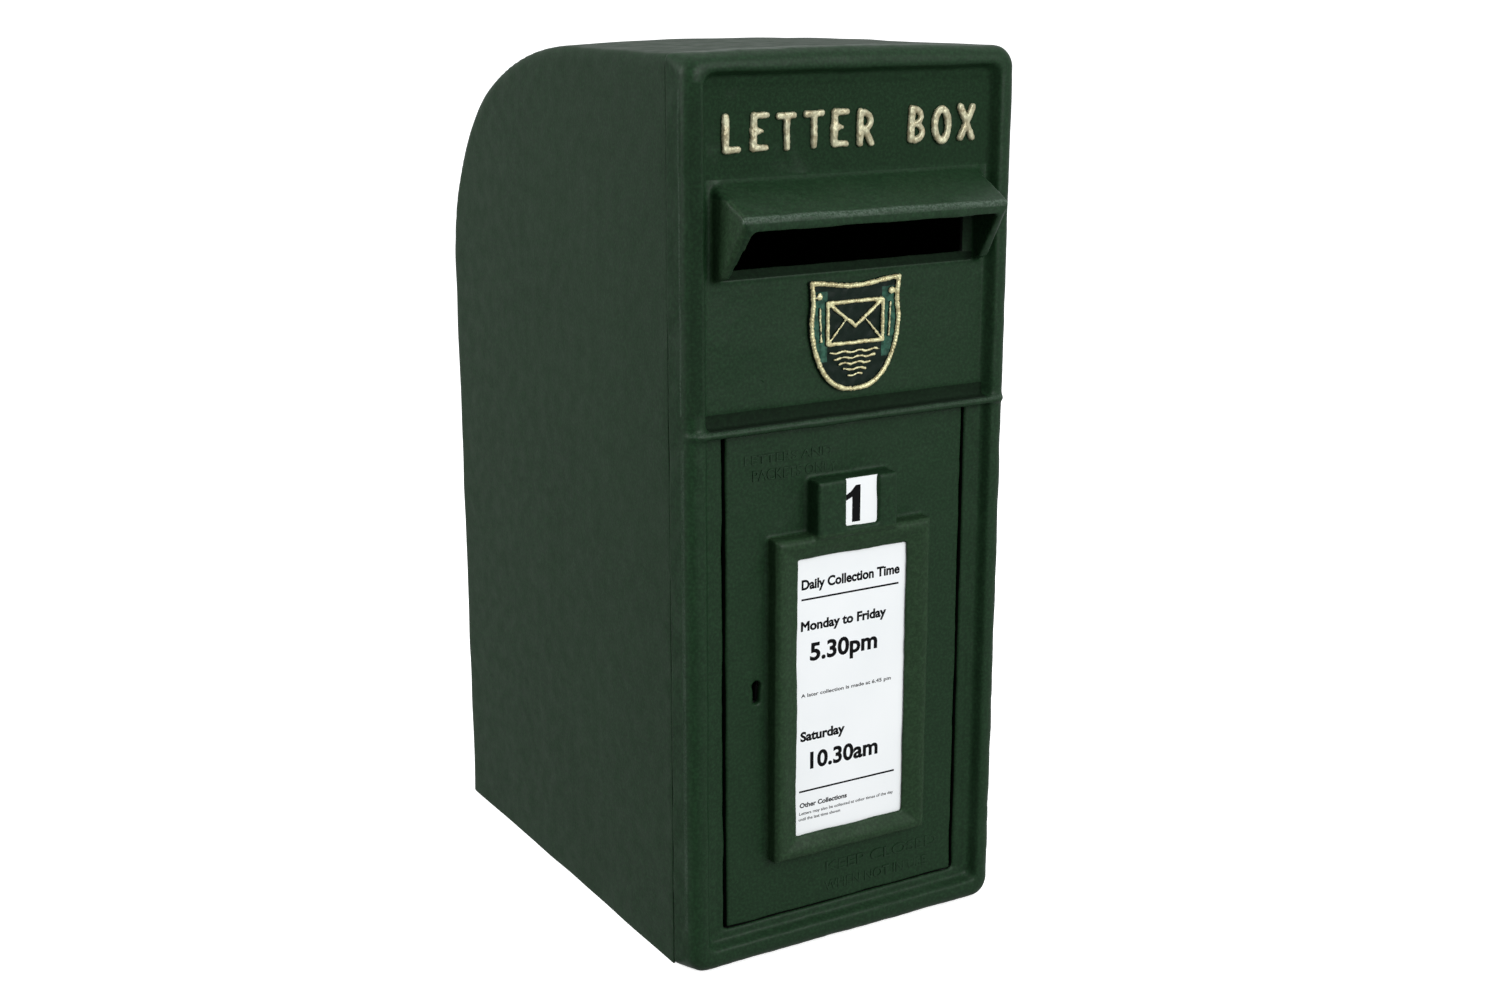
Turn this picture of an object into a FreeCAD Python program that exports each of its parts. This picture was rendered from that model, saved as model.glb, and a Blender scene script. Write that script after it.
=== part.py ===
"""Wall or pillar letter box: a cast front with a hinged door on a bent sheet body.

Millimetres. X runs to the right as seen from the front, Y into the box, Z up.
The origin is the bottom centre of the whole box. Depths are counted from the
front plane of the casting's border, positive into the box.
"""
import FreeCAD, Part
import math
import os

V = FreeCAD.Vector

# Overall sizes
WIDTH = 240.0
HEIGHT = 586.2            # top of the crowned casting
BODY_DEPTH = 361.5        # border plane to back sheet
HOOD_REACH = 26.0         # hood lip in front of the border plane
CROWN = 2.5               # the top is this much lower at its sides
REVEAL = 0.4              # the casting stands this proud of the sheet body

# Sheet body
SHEET = 2.0
SEAM_DEPTH = 25.0         # where the casting ends and the sheet begins
FLANGE = 15.0
BEND_R = 2.5              # outer radius of a folded sheet corner
ROOF_FLAT_END = 155.0     # depth at which the roof starts to curve down
ROOF_R = 270.0            # first, gentler arc of the rear curve
ROOF_TURN = 0.47          # radians turned by that arc
BASE_HOLES = (140.0, 200.0)
BASE_HOLE_R = 4.5
BACK_HOLES = (160.0, 280.0)
BACK_HOLE_R = 4.5
BACK_HOLES_Z = 210.0

# Cast front
CORNER_R = 19.0           # corners of the casting at its front
BACK_CORNER_R = 3.0       # and where it meets the square sheet body
EDGE_R = 9.0
RIM = 7.0                 # thickness of the rim round the back of the casting
PANEL = 8.0               # depth of the recessed panels
WALL = 5.0                # thickness of the panels
DRAFT = 4.0               # how far the sides of the panels' recesses slope in
UPPER_HALF = 103.5
UPPER_Z = (369.3, 569.8)
UPPER_R = 8.0
BAND_DEPTH = 9.0          # strip between the upper panel and the ledge
LEDGE_Z = (355.4, 360.4)
LEDGE_PROUD = 2.5
LEDGE_END_R = 10.0        # its ends turn round the casting's edge
LEDGE_EDGE_R = 2.2
LOWER_HALF = 103.3
LOWER_Z = 18.5
LOWER_R = 5.0
RIDGE_WIDE = 4.0          # low ridge along the foot of the border
RIDGE_TALL = 0.8

# Hood and letter slot
HOOD_TOP_Z = 510.0
HOOD_ROOT_HALF = 98.3     # half-width where the hood's roof meets the panel
HOOD_SHOULDER = (12.0, 5.5)   # width and drop of the roof's round shoulders there
SHOULDER_FACETS = 4
HOOD_LIP_HALF = 95.5
HOOD_UNDER_HALF = 91.6    # lower edge of the lip
HOOD_FOOT_HALF = 98.7
UNDER_SETBACK = 0.4       # the lip leans back by this much towards its lower edge
LIP_Z = (483.0, 491.8)
LIP_ROUND = 3.0           # radius of the lip's upper edge, cut as facets
LIP_TURNS = (62.0, 31.0, 0.0)   # degrees up from level at each corner of those facets
LIP_THICK = 4.0
LIP_TALL_INSIDE = 3.8     # the hood's roof inside starts this far above the lip
HOOD_FOOT_Z = (449.3, 452.8)
HOOD_FOOT_DEPTH = -2.0
SILL_Z = 450.5            # outer edge of the slot's sloping sill
MOUTH_HALF = (88.0, 93.5) # inside the cheeks, at the lip and at the panel
SLOT_HALF = 86.0
SLOT_Z = (456.0, 494.0)
SLOT_HEAD = 5.0           # the slot's top falls this much through the wall

# Door
DOOR_HALF = 89.3
DOOR_Z = (25.2, 354.4)
SIDE_GAP = 2.2
BOTTOM_GAP = 0.8
DOOR_FRONT = PANEL
DOOR_BACK = PANEL + WALL
DOOR_EDGE_R = 1.0
STOP_Z = (60.0, 325.0)    # heights of the two lugs that the closed door rests near
STOP_SIZE = (5.0, 8.0, 4.0)   # reach over the door, half-height, depth
STOP_GAP = 0.4
MOULD_HALF = 59.0
MOULD_Z = (67.0, 285.4)
MOULD_FRONT = -4.0
MOULD_EDGE = 2.5
CREST_INSET = 6.0
WINDOW_HALF = 41.7
WINDOW_Z = (82.2, 270.7)
WINDOW_DEPTH = -0.4
POCKET_HALF = 52.0
POCKET_Z = (76.5, 276.5)
POCKET_DEPTH = 1.3
KEY_X = -67.0
KEY_HEAD_Z = 188.6
KEY_HEAD_R = 3.65
KEY_FOOT_Z = 176.5
KEY_SLOT_HALF = (2.5, 3.1)    # at the foot and at the head

# Number holder on the door
TAB_HALF = 30.0
TAB_Z = (283.0, 320.5)
TAB_FRONT = -6.0
TAB_EDGE_R = 1.8
NUMBER_X = 3.4            # middle of the number's channel
CHANNEL_HALF = 12.2
CHANNEL_FOOT_Z = 288.6
GROOVE_HALF = 15.8
GROOVE_DEPTH = (-4.0, -2.8)
NUMBER_CARD = (31.0, 31.2, 0.6)

# Hinge
PIVOT_X = 84.3
PIVOT_DEPTH = 12.0
PIN_R = 2.5
PIN_CLEARANCE = 0.05
KNUCKLE_R = 5.0
KNUCKLE_LONG = 18.0
PIN_GRIP = 15.0           # length of each pin in the door
LUG_HALF = 6.0
LUG_BACK = 18.5
LUG_TALL = 12.4

# Lock
CASE_X = (-87.3, -53.3)
CASE_Z = (150.0, 214.0)
CASE_WALL = 2.0
CASE_BACK = 23.0
BOLT_Z = (196.6, 206.0)
BOLT_DEPTH = (15.3, 21.3)
BOLT_NOSE = 0.8
BOLT_TAIL_X = -58.0
KEY_NOTCH = (4.0, 2.4)    # half-width and height of the key's notch in the bolt
BOLT_THROW = 10.0
STUMP_X = -76.0
STUMP_R = 1.5
POST_R = 1.2              # the post that a pipe key turns on
PILLAR_R = 3.0
CAP_SCREW_INSET = 6.0
EAR = 10.0
EAR_SCREW = 5.0
SPRING_DEPTH = (16.5, 20.5)
SPRING_HALF_THICK = 0.3
FIT = 0.3

# Cards
CARD = 0.4
CARD_MARGIN = 1.0
BACKPLATE = 2.0
BACKPLATE_MARGIN = 0.5
BACKPLATE_SCREW_X = 48.4
BACKPLATE_SCREW_Z = (100.0, 253.0)

# Fixings
M6_R = 3.0
M4_R = 2.0
M3_R = 1.5
SCREW_ROOM = 0.05
FREE = 0.2                # a screw's clearance hole is this much larger in radius
BOSS_R = 6.0
SIDE_BOSS_X = 107.5
SIDE_BOSS_Z = (70.0, 300.0, 520.0)
END_BOSS_X = 60.0
TOP_BOSS_Z = 570.5
BOTTOM_BOSS_Z = 12.0
BOSS_HOLE_DEPTH = 15.0
WASHER_R = 6.0
WASHER = 1.6
HEX_HEAD = (5.77, 4.0)    # radius over corners, height
HEX_SHANK = 14.0

# Relief
LETTER_TALL = 24.0
LETTER_FOOT_Z = 525.0
STROKE_R = 2.5
LETTER_PROUD = 2.8
WORDS = "LETTER BOX"
WORDS_LEFT = -91.8
LETTER_PITCH = 18.9
LETTER_WIDE = 13.2
EMBLEM_X = 3.0
EMBLEM_Z = 409.5
EMBLEM_HALF = 34.0
EMBLEM_TALL = 73.0
EMBLEM_BORDER = 3.2
EMBLEM_GROUND = PANEL - 2.0
GILD_FRONT = PANEL - 4.5
GILD_R = 1.5
ENVELOPE_HALF = 21.0
ENVELOPE_UP = 14.0
FINE_LINE_R = 0.9

# Places that follow from the sizes above
HALF = WIDTH / 2
FRONT = (HOOD_REACH - BODY_DEPTH) / 2
BACK = FRONT + BODY_DEPTH
SHEET_HALF = HALF - REVEAL
SHEET_TOP = HEIGHT - REVEAL
CROWN_R = (HALF ** 2 + CROWN ** 2) / (2 * CROWN)
OPENING_HALF = DOOR_HALF + SIDE_GAP
OPENING_Z = DOOR_Z[0] - BOTTOM_GAP
FRAME_SCREWS = ([(side * SIDE_BOSS_X, z) for side in (-1, 1) for z in SIDE_BOSS_Z]
                + [(side * END_BOSS_X, z) for side in (-1, 1)
                   for z in (BOTTOM_BOSS_Z, TOP_BOSS_Z)])


# ---------------------------------------------------------------- helpers

def at(depth):
    """Y of the plane this deep behind the border plane."""
    return FRONT + depth


def block(x0, x1, d0, d1, z0, z1):
    return Part.makeBox(x1 - x0, d1 - d0, z1 - z0, V(x0, at(d0), z0))


def rod_y(x, z, r, d0, d1):
    return Part.makeCylinder(r, d1 - d0, V(x, at(d0), z), V(0, 1, 0))


def rod_z(x, depth, r, z0, z1):
    return Part.makeCylinder(r, z1 - z0, V(x, at(depth), z0), V(0, 0, 1))


def extrude_back(points, d0, d1):
    """A closed outline of (x, z) points, swept from depth d0 to d1."""
    wire = Part.makePolygon([V(x, at(d0), z) for x, z in points + points[:1]])
    return Part.Face(wire).extrude(V(0, d1 - d0, 0))


def rectangle_wire(half, z0, z1, depth):
    points = [(-half, z0), (half, z0), (half, z1), (-half, z1), (-half, z0)]
    return Part.makePolygon([V(x, at(depth), z) for x, z in points])


def funnel(near, far):
    """A tapering block between two rectangles given as (half, z0, z1, depth)."""
    return Part.makeLoft([rectangle_wire(*near), rectangle_wire(*far)], True, True)


def recess(half, z0, z1, r, at_top):
    """A cutter for a recessed panel: sloping sides and end, round corners at that end."""
    wider = half + DRAFT * (PANEL + 1) / PANEL
    longer = DRAFT * (PANEL + 1) / PANEL
    near = (wider, z0, z1 + longer, -1) if at_top else (wider, z0 - longer, z1, -1)
    cutter = funnel(near, (half, z0, z1, PANEL))
    corners = [e for e in cutter.Edges if abs(e.Vertexes[0].Y - e.Vertexes[1].Y) > 0.01
               and (e.CenterOfMass.z > (z0 + z1) / 2) == at_top]
    return cutter.makeFillet(r, corners)


def arc_between(start, middle, end):
    return Part.Arc(start, middle, end).toShape()


def edges_at_depth(shape, depth):
    """The edges that lie in the plane at this depth."""
    y = at(depth)
    return [e for e in shape.Edges
            if all(abs(v.Y - y) < 0.01 for v in e.Vertexes) and abs(e.CenterOfMass.y - y) < 0.01]


def fuse_all(shapes):
    return shapes[0].multiFuse(shapes[1:]).removeSplitter()


def mirrored(shape):
    return shape.mirror(V(0, 0, 0), V(1, 0, 0))


def save(shapes, node):
    """Write one STEP file; a list becomes a group of separate solids."""
    shape = Part.makeCompound(shapes) if isinstance(shapes, list) else shapes
    for solid in shape.Solids:
        if not solid.isValid():
            raise ValueError(node + " is not a valid solid")
    print(node, len(shape.Solids), round(shape.Volume / 1000, 2), "cm3")
    shape.exportStep("parts/" + node + ".step")


# ---------------------------------------------------------------- sheet body

def roof_arcs(inset):
    """Centre, radius pairs of the two arcs of the rear curve, as (depth, z)."""
    sine, cosine = math.sin(ROOF_TURN), math.cos(ROOF_TURN)
    second_r = (BODY_DEPTH - ROOF_FLAT_END - ROOF_R * sine) / (1 - sine)
    first = (ROOF_FLAT_END, SHEET_TOP - ROOF_R)
    step = ROOF_R - second_r
    second = (first[0] + step * sine, first[1] + step * cosine)
    return (first, ROOF_R - inset), (second, second_r - inset)


def on_arc(arc, turn, x):
    (depth, z), r = arc
    return V(x, at(depth + r * math.sin(turn)), z + r * math.cos(turn))


def body_block(inset, half, start, foot):
    """The sheet body's outline as a solid block, inset from its outer surface."""
    first, second = roof_arcs(inset)
    quarter = math.pi / 2
    top = SHEET_TOP - inset
    back = BODY_DEPTH - inset
    begin = on_arc(first, 0, -half)
    blend = on_arc(first, ROOF_TURN, -half)
    finish = on_arc(second, quarter, -half)
    edges = [Part.makeLine(V(-half, at(start), foot), V(-half, at(start), top)),
             Part.makeLine(V(-half, at(start), top), begin),
             arc_between(begin, on_arc(first, ROOF_TURN / 2, -half), blend),
             arc_between(blend, on_arc(second, (ROOF_TURN + quarter) / 2, -half), finish),
             Part.makeLine(finish, V(-half, at(back), foot)),
             Part.makeLine(V(-half, at(back), foot), V(-half, at(start), foot))]
    profile = Part.Face(Part.Wire(edges)).extrude(V(2 * half, 0, 0))
    return profile.common(crowned_block(SHEET_TOP - inset, CROWN_R - inset, half))


def crowned_block(top, radius, half):
    """Everything below a roof that falls gently to both sides."""
    reach = half + 1.0
    drop = radius - math.sqrt(radius ** 2 - reach ** 2)
    left, right = V(-reach, BACK, top - drop), V(reach, BACK, top - drop)
    low_left, low_right = V(-reach, BACK, -HALF), V(reach, BACK, -HALF)
    edges = [arc_between(left, V(0, BACK, top), right), Part.makeLine(right, low_right),
             Part.makeLine(low_right, low_left), Part.makeLine(low_left, left)]
    return Part.Face(Part.Wire(edges)).extrude(V(0, -2 * BODY_DEPTH, 0))


def screw_hole(x, z):
    """Through a front flange, for a screw into the casting."""
    return rod_y(x, z, M6_R + FIT, SEAM_DEPTH - 1, SEAM_DEPTH + SHEET + 1)


def wrap_sheet():
    outer = body_block(0, SHEET_HALF, SEAM_DEPTH, 0)
    inner = body_block(SHEET, HALF + 10, SEAM_DEPTH - 10, -20)
    flange_half = SHEET_HALF - 2 * SHEET
    flange = block(-flange_half, flange_half, SEAM_DEPTH, SEAM_DEPTH + SHEET,
                   SHEET_TOP - SHEET - FLANGE, SHEET_TOP).common(outer)
    sheet = fuse_all([outer.cut(inner), flange])
    for x, z in FRAME_SCREWS:
        if z == TOP_BOSS_Z:
            sheet = sheet.cut(screw_hole(x, z))
    for side in (-1, 1):
        for up in (-1, 1):
            hole = rod_y(side * BACK_HOLES[0] / 2, BACK_HOLES_Z + up * BACK_HOLES[1] / 2, BACK_HOLE_R,
                         BODY_DEPTH - 3 * SHEET, BODY_DEPTH + SHEET)
            sheet = sheet.cut(hole)
    return sheet


def side_panel():
    """The right-hand side sheet."""
    inner = body_block(SHEET, SHEET_HALF, SEAM_DEPTH, 0)
    side = inner.common(block(SHEET_HALF - SHEET, SHEET_HALF, 0, BODY_DEPTH, 0, HEIGHT))
    flange = block(SHEET_HALF - SHEET - FLANGE, SHEET_HALF - SHEET, SEAM_DEPTH, SEAM_DEPTH + SHEET,
                   FLANGE + 2 * SHEET + 1, SHEET_TOP - CROWN - FLANGE - 2 * SHEET - 1)
    panel = fuse_all([side, flange])
    bend = [e for e in panel.Edges
            if all(abs(v.X - SHEET_HALF) < 0.01 and abs(v.Y - at(SEAM_DEPTH)) < 0.01 for v in e.Vertexes)]
    panel = panel.makeFillet(BEND_R, bend)
    for x, z in FRAME_SCREWS:
        if x == SIDE_BOSS_X:
            panel = panel.cut(screw_hole(x, z))
    return panel


def base_plate():
    inside = SHEET_HALF - SHEET
    back = BODY_DEPTH - SHEET
    tall = SHEET + FLANGE
    pieces = [block(-inside, inside, SEAM_DEPTH, back, 0, SHEET),
              block(-inside + SHEET, inside - SHEET, SEAM_DEPTH, SEAM_DEPTH + SHEET, 0, tall),
              block(-inside + SHEET, inside - SHEET, back - SHEET, back, 0, tall)]
    for side in (-1, 1):
        near, far = sorted((side * inside, side * (inside - SHEET)))
        pieces.append(block(near, far, SEAM_DEPTH + 2 * SHEET, back - 2 * SHEET, 0, tall))
    plate = fuse_all(pieces)
    for x, z in FRAME_SCREWS:
        if z == BOTTOM_BOSS_Z:
            plate = plate.cut(screw_hole(x, z))
    for side in (-1, 1):
        for end in (-1, 1):
            hole = Part.makeCylinder(BASE_HOLE_R, 4 * SHEET,
                                     V(side * BASE_HOLES[0] / 2, end * BASE_HOLES[1] / 2, -SHEET))
            plate = plate.cut(hole)
    return plate


# ---------------------------------------------------------------- cast front

def front_outline(inset, corner_r, depth):
    """The casting's outline, with round corners and a crowned top."""
    cx = HALF - corner_r
    r = corner_r - inset
    lean = math.asin(cx / (CROWN_R - corner_r))
    top_z = HEIGHT - CROWN_R + (CROWN_R - corner_r) * math.cos(lean)
    half = HALF - inset
    quarter = math.pi / 2

    def p(x, z):
        return V(x, at(depth), z)

    def corner(side, z, turn):
        return p(side * (cx + r * math.sin(turn)), z + r * math.cos(turn))

    mid = (lean + quarter) / 2
    low = 3 * quarter / 2
    edges = [Part.makeLine(p(-cx, inset), p(cx, inset)),
             arc_between(p(cx, inset), corner(1, corner_r, low), p(half, corner_r)),
             Part.makeLine(p(half, corner_r), p(half, top_z)),
             arc_between(p(half, top_z), corner(1, top_z, mid), corner(1, top_z, lean)),
             arc_between(corner(1, top_z, lean), p(0, HEIGHT - inset), corner(-1, top_z, lean)),
             arc_between(corner(-1, top_z, lean), corner(-1, top_z, mid), p(-half, top_z)),
             Part.makeLine(p(-half, top_z), p(-half, corner_r)),
             arc_between(p(-half, corner_r), corner(-1, corner_r, low), p(-cx, inset))]
    return Part.Wire(edges)


def shell_casting():
    """Border, rim and both recessed panels."""
    outlines = [front_outline(0, CORNER_R, 0), front_outline(0, BACK_CORNER_R, SEAM_DEPTH)]
    casting = Part.makeLoft(outlines, True, True)
    casting = casting.makeFillet(EDGE_R, edges_at_depth(casting, 0))
    upper = recess(UPPER_HALF, LEDGE_Z[0], UPPER_Z[1], UPPER_R, True)
    band = block(-UPPER_HALF, UPPER_HALF, -1, BAND_DEPTH, LEDGE_Z[0], UPPER_Z[0])
    lower = recess(LOWER_HALF, LOWER_Z, LEDGE_Z[0], LOWER_R, False)
    opening = block(-OPENING_HALF, OPENING_HALF, -1, SEAM_DEPTH + 1, OPENING_Z, LEDGE_Z[0])
    hollow = Part.Face(front_outline(RIM, RIM + BACK_CORNER_R, DOOR_BACK))
    cavity = hollow.extrude(V(0, SEAM_DEPTH + 1 - DOOR_BACK, 0))
    return casting.cut([cavity, upper, band, lower, opening])


def ridges():
    """Low ridges along the foot of the border: over the upper panel, round the lower one."""
    front = PANEL - RIDGE_TALL
    bars = [block(-UPPER_HALF, UPPER_HALF, front, PANEL + 1, UPPER_Z[1] - RIDGE_WIDE, UPPER_Z[1] + 1),
            block(-LOWER_HALF, LOWER_HALF, front, PANEL + 1, LOWER_Z - 1, LOWER_Z + RIDGE_WIDE)]
    for side in (-1, 1):
        near, far = sorted((side * (LOWER_HALF - RIDGE_WIDE), side * (LOWER_HALF + 1)))
        bars.append(block(near, far, front, PANEL + 1, LOWER_Z, LEDGE_Z[0]))
    return bars


def ledge():
    """A bar across the front whose ends turn back along the casting's sides."""
    bar = block(-HALF, HALF, -LEDGE_PROUD, LEDGE_END_R, LEDGE_Z[0], LEDGE_Z[1])
    ends = [e for e in edges_at_depth(bar, -LEDGE_PROUD) if abs(e.CenterOfMass.x) > HALF - 0.01]
    bar = bar.makeFillet(LEDGE_END_R, ends)
    rims = [e for e in bar.Edges if abs(e.Vertexes[0].Z - e.Vertexes[1].Z) < 0.01
            and e.CenterOfMass.y < at(LEDGE_END_R) - 0.01]
    return bar.makeFillet(LEDGE_EDGE_R, rims)


def polyhedron(faces):
    """A closed solid from flat faces, each a list of (x, depth, z) points."""
    rings = [[V(x, at(d), z) for x, d, z in face + face[:1]] for face in faces]
    return Part.Solid(Part.Shell([Part.Face(Part.makePolygon(ring)) for ring in rings]))


def hood_shoulder(side):
    """Points down the round shoulder where one end of the hood's roof meets the panel."""
    wide, drop = HOOD_SHOULDER
    turns = [math.pi / 2 * k / SHOULDER_FACETS for k in range(SHOULDER_FACETS + 1)]
    return [(side * (HOOD_ROOT_HALF - wide * (1 - math.sin(turn))), PANEL,
             HOOD_TOP_Z - drop * (1 - math.cos(turn))) for turn in turns]


def hood_lip(side):
    """Points round the upper edge of the lip at one end, from the roof to its front face."""
    return [(side * HOOD_LIP_HALF, LIP_ROUND - HOOD_REACH - LIP_ROUND * math.cos(math.radians(turn)),
             LIP_Z[1] - LIP_ROUND + LIP_ROUND * math.sin(math.radians(turn))) for turn in LIP_TURNS]


def hood():
    """The wedge over the slot, wider at its sill than at its lip."""
    def pair(half, depth, z):
        return (-half, depth, z), (half, depth, z)

    lip_l, lip_r = hood_lip(-1), hood_lip(1)
    under_l, under_r = pair(HOOD_UNDER_HALF, -HOOD_REACH + UNDER_SETBACK, LIP_Z[0])
    heel_l, heel_r = pair(HOOD_FOOT_HALF, HOOD_FOOT_DEPTH, HOOD_FOOT_Z[1])
    foot_l, foot_r = pair(HOOD_FOOT_HALF, PANEL, HOOD_FOOT_Z[0])
    root_l, root_r = hood_shoulder(-1), hood_shoulder(1)
    faces = [[root_l[0], root_r[0], lip_r[0], lip_l[0]], [lip_l[-1], lip_r[-1], under_r, under_l],
             [under_l, under_r, heel_r, heel_l], [heel_l, heel_r, foot_r, foot_l],
             root_l + [foot_l, foot_r] + root_r[::-1]]
    faces += [[lip_l[i], lip_r[i], lip_r[i + 1], lip_l[i + 1]] for i in range(len(LIP_TURNS) - 1)]
    for root, lip, under, heel, foot in ((root_l, lip_l, under_l, heel_l, foot_l),
                                         (root_r, lip_r, under_r, heel_r, foot_r)):
        faces += [[near, far, lip[0]] for near, far in zip(root, root[1:])]
        faces += [[near, far, heel] for near, far in zip(lip, lip[1:])]
        faces += [[root[-1], lip[0], heel], [lip[-1], under, heel], [root[-1], heel, foot]]
    return polyhedron(faces)


def spread_block(outline, spread):
    """A closed (depth, z) outline whose half-width follows spread(depth)."""
    left = [(-spread(d), d, z) for d, z in outline]
    right = [(spread(d), d, z) for d, z in outline]
    following = list(range(1, len(outline))) + [0]
    bands = [[left[i], left[j], right[j], right[i]] for i, j in enumerate(following)]
    return polyhedron([left, right] + bands)


def slot_cutter():
    """The letter way: under the lip, over a sloping sill and through the wall."""
    out = -2 * HOOD_REACH
    inner_lip = -HOOD_REACH + LIP_THICK
    widen = (MOUTH_HALF[1] - MOUTH_HALF[0]) / (PANEL + HOOD_REACH)
    head = SLOT_Z[1] + SLOT_HEAD
    mouth = spread_block([(PANEL, SILL_Z), (out, SILL_Z - 10), (out, LIP_Z[0]), (inner_lip, LIP_Z[0]),
                          (inner_lip, LIP_Z[0] + LIP_TALL_INSIDE), (PANEL, head)],
                         lambda d: MOUTH_HALF[0] + widen * (d + HOOD_REACH))
    throat = funnel((MOUTH_HALF[1], SILL_Z, head, PANEL), (SLOT_HALF, SLOT_Z[0], SLOT_Z[1], DOOR_BACK))
    exit_way = block(-SLOT_HALF, SLOT_HALF, DOOR_BACK - 0.5, DOOR_BACK + 3, SLOT_Z[0], SLOT_Z[1])
    return [mouth, throat, exit_way]


def hinge_lug(z0, z1):
    return block(PIVOT_X - LUG_HALF, PIVOT_X + LUG_HALF, DOOR_BACK - 1, LUG_BACK, z0, z1)


def door_stop(z):
    """A small lug behind the lock-side jamb that the closed door rests near."""
    reach, tall, thick = STOP_SIZE
    back = DOOR_BACK + thick
    foot = block(-OPENING_HALF - reach, -OPENING_HALF, DOOR_BACK - 0.5, back, z - tall, z + tall)
    nose = block(-OPENING_HALF, -OPENING_HALF + reach, DOOR_BACK + STOP_GAP, back, z - tall, z + tall)
    return foot.fuse(nose)


def front_frame():
    bosses = [rod_y(x, z, BOSS_R, DOOR_BACK - 1, SEAM_DEPTH) for x, z in FRAME_SCREWS]
    lugs = [hinge_lug(LEDGE_Z[0], LEDGE_Z[0] + LUG_TALL), hinge_lug(OPENING_Z - LUG_TALL, OPENING_Z)]
    stops = [door_stop(z) for z in STOP_Z]
    casting = fuse_all([shell_casting(), ledge(), hood()] + ridges() + bosses + lugs + stops)
    holes = [rod_y(x, z, M6_R, SEAM_DEPTH - BOSS_HOLE_DEPTH, SEAM_DEPTH + 1) for x, z in FRAME_SCREWS]
    pin_holes = [rod_z(PIVOT_X, PIVOT_DEPTH, PIN_R, LEDGE_Z[0] - 1, LEDGE_Z[0] + LUG_TALL + 1),
                 rod_z(PIVOT_X, PIVOT_DEPTH, PIN_R, OPENING_Z - LUG_TALL - 1, OPENING_Z + 1)]
    return casting.cut(slot_cutter() + holes + pin_holes)


# ---------------------------------------------------------------- relief

LETTERS = {
    "L": [[(0, 1), (0, 0), (1, 0)]],
    "E": [[(1, 1), (0, 1), (0, 0), (1, 0)], [(0, 0.5), (0.8, 0.5)]],
    "T": [[(0, 1), (1, 1)], [(0.5, 1), (0.5, 0)]],
    "R": [[(0, 0), (0, 1), (0.75, 1), (1, 0.85), (1, 0.65), (0.75, 0.5), (0, 0.5)], [(0.5, 0.5), (1, 0)]],
    "B": [[(0, 0), (0, 1), (0.7, 1), (0.95, 0.85), (0.95, 0.65), (0.7, 0.52), (0, 0.52)],
          [(0.7, 0.52), (1, 0.35), (1, 0.15), (0.75, 0), (0, 0)]],
    "O": [[(0.3, 0), (0, 0.25), (0, 0.75), (0.3, 1), (0.7, 1), (1, 0.75), (1, 0.25), (0.7, 0), (0.3, 0)]],
    "X": [[(0, 0), (1, 1)], [(0, 1), (1, 0)]],
}


def stroke(start, end, r, d0, d1):
    """A bar with round ends between two (x, z) points."""
    (x0, z0), (x1, z1) = start, end
    length = math.hypot(x1 - x0, z1 - z0)
    across = V(-(z1 - z0) * r / length, 0, (x1 - x0) * r / length)
    along = V((x1 - x0) * r / length, 0, (z1 - z0) * r / length)
    a, b = V(x0, at(d0), z0), V(x1, at(d0), z1)
    edges = [Part.makeLine(a + across, b + across), arc_between(b + across, b + along, b - across),
             Part.makeLine(b - across, a - across), arc_between(a - across, a - along, a + across)]
    return Part.Face(Part.Wire(edges)).extrude(V(0, d1 - d0, 0))


def strokes(path, r, d0, d1):
    return [stroke(a, b, r, d0, d1) for a, b in zip(path, path[1:])]


def raised_lettering():
    letters = []
    inner_wide = LETTER_WIDE - 2 * STROKE_R + 2
    inner_tall = LETTER_TALL - 2 * STROKE_R
    for place, letter in enumerate(WORDS):
        if letter == " ":
            continue
        left = WORDS_LEFT + place * LETTER_PITCH + STROKE_R
        bars = []
        for path in LETTERS[letter]:
            spots = [(left + x * inner_wide, LETTER_FOOT_Z + STROKE_R + z * inner_tall) for x, z in path]
            bars += strokes(spots, STROKE_R, PANEL - LETTER_PROUD, PANEL)
        letters.append(fuse_all(bars))
    return letters


def shield(inset, d0, d1):
    """A rounded shield: straight top, bowed sides meeting in a soft point."""
    half = EMBLEM_HALF - inset
    top = EMBLEM_Z + EMBLEM_TALL / 2 - inset
    foot = EMBLEM_Z - EMBLEM_TALL / 2 + inset * 1.2
    shoulder = top - EMBLEM_TALL * 0.35

    def p(x, z):
        return V(EMBLEM_X + x, at(d0), z)

    bow = (half * 0.78, foot + (shoulder - foot) * 0.36)
    edges = [Part.makeLine(p(-half, top), p(half, top)),
             Part.makeLine(p(half, top), p(half, shoulder)),
             arc_between(p(half, shoulder), p(*bow), p(0, foot)),
             arc_between(p(0, foot), p(-bow[0], bow[1]), p(-half, shoulder)),
             Part.makeLine(p(-half, shoulder), p(-half, top))]
    return Part.Face(Part.Wire(edges)).extrude(V(0, d1 - d0, 0))


def emblem_plaque():
    return shield(EMBLEM_BORDER / 4, EMBLEM_GROUND, PANEL)


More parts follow.
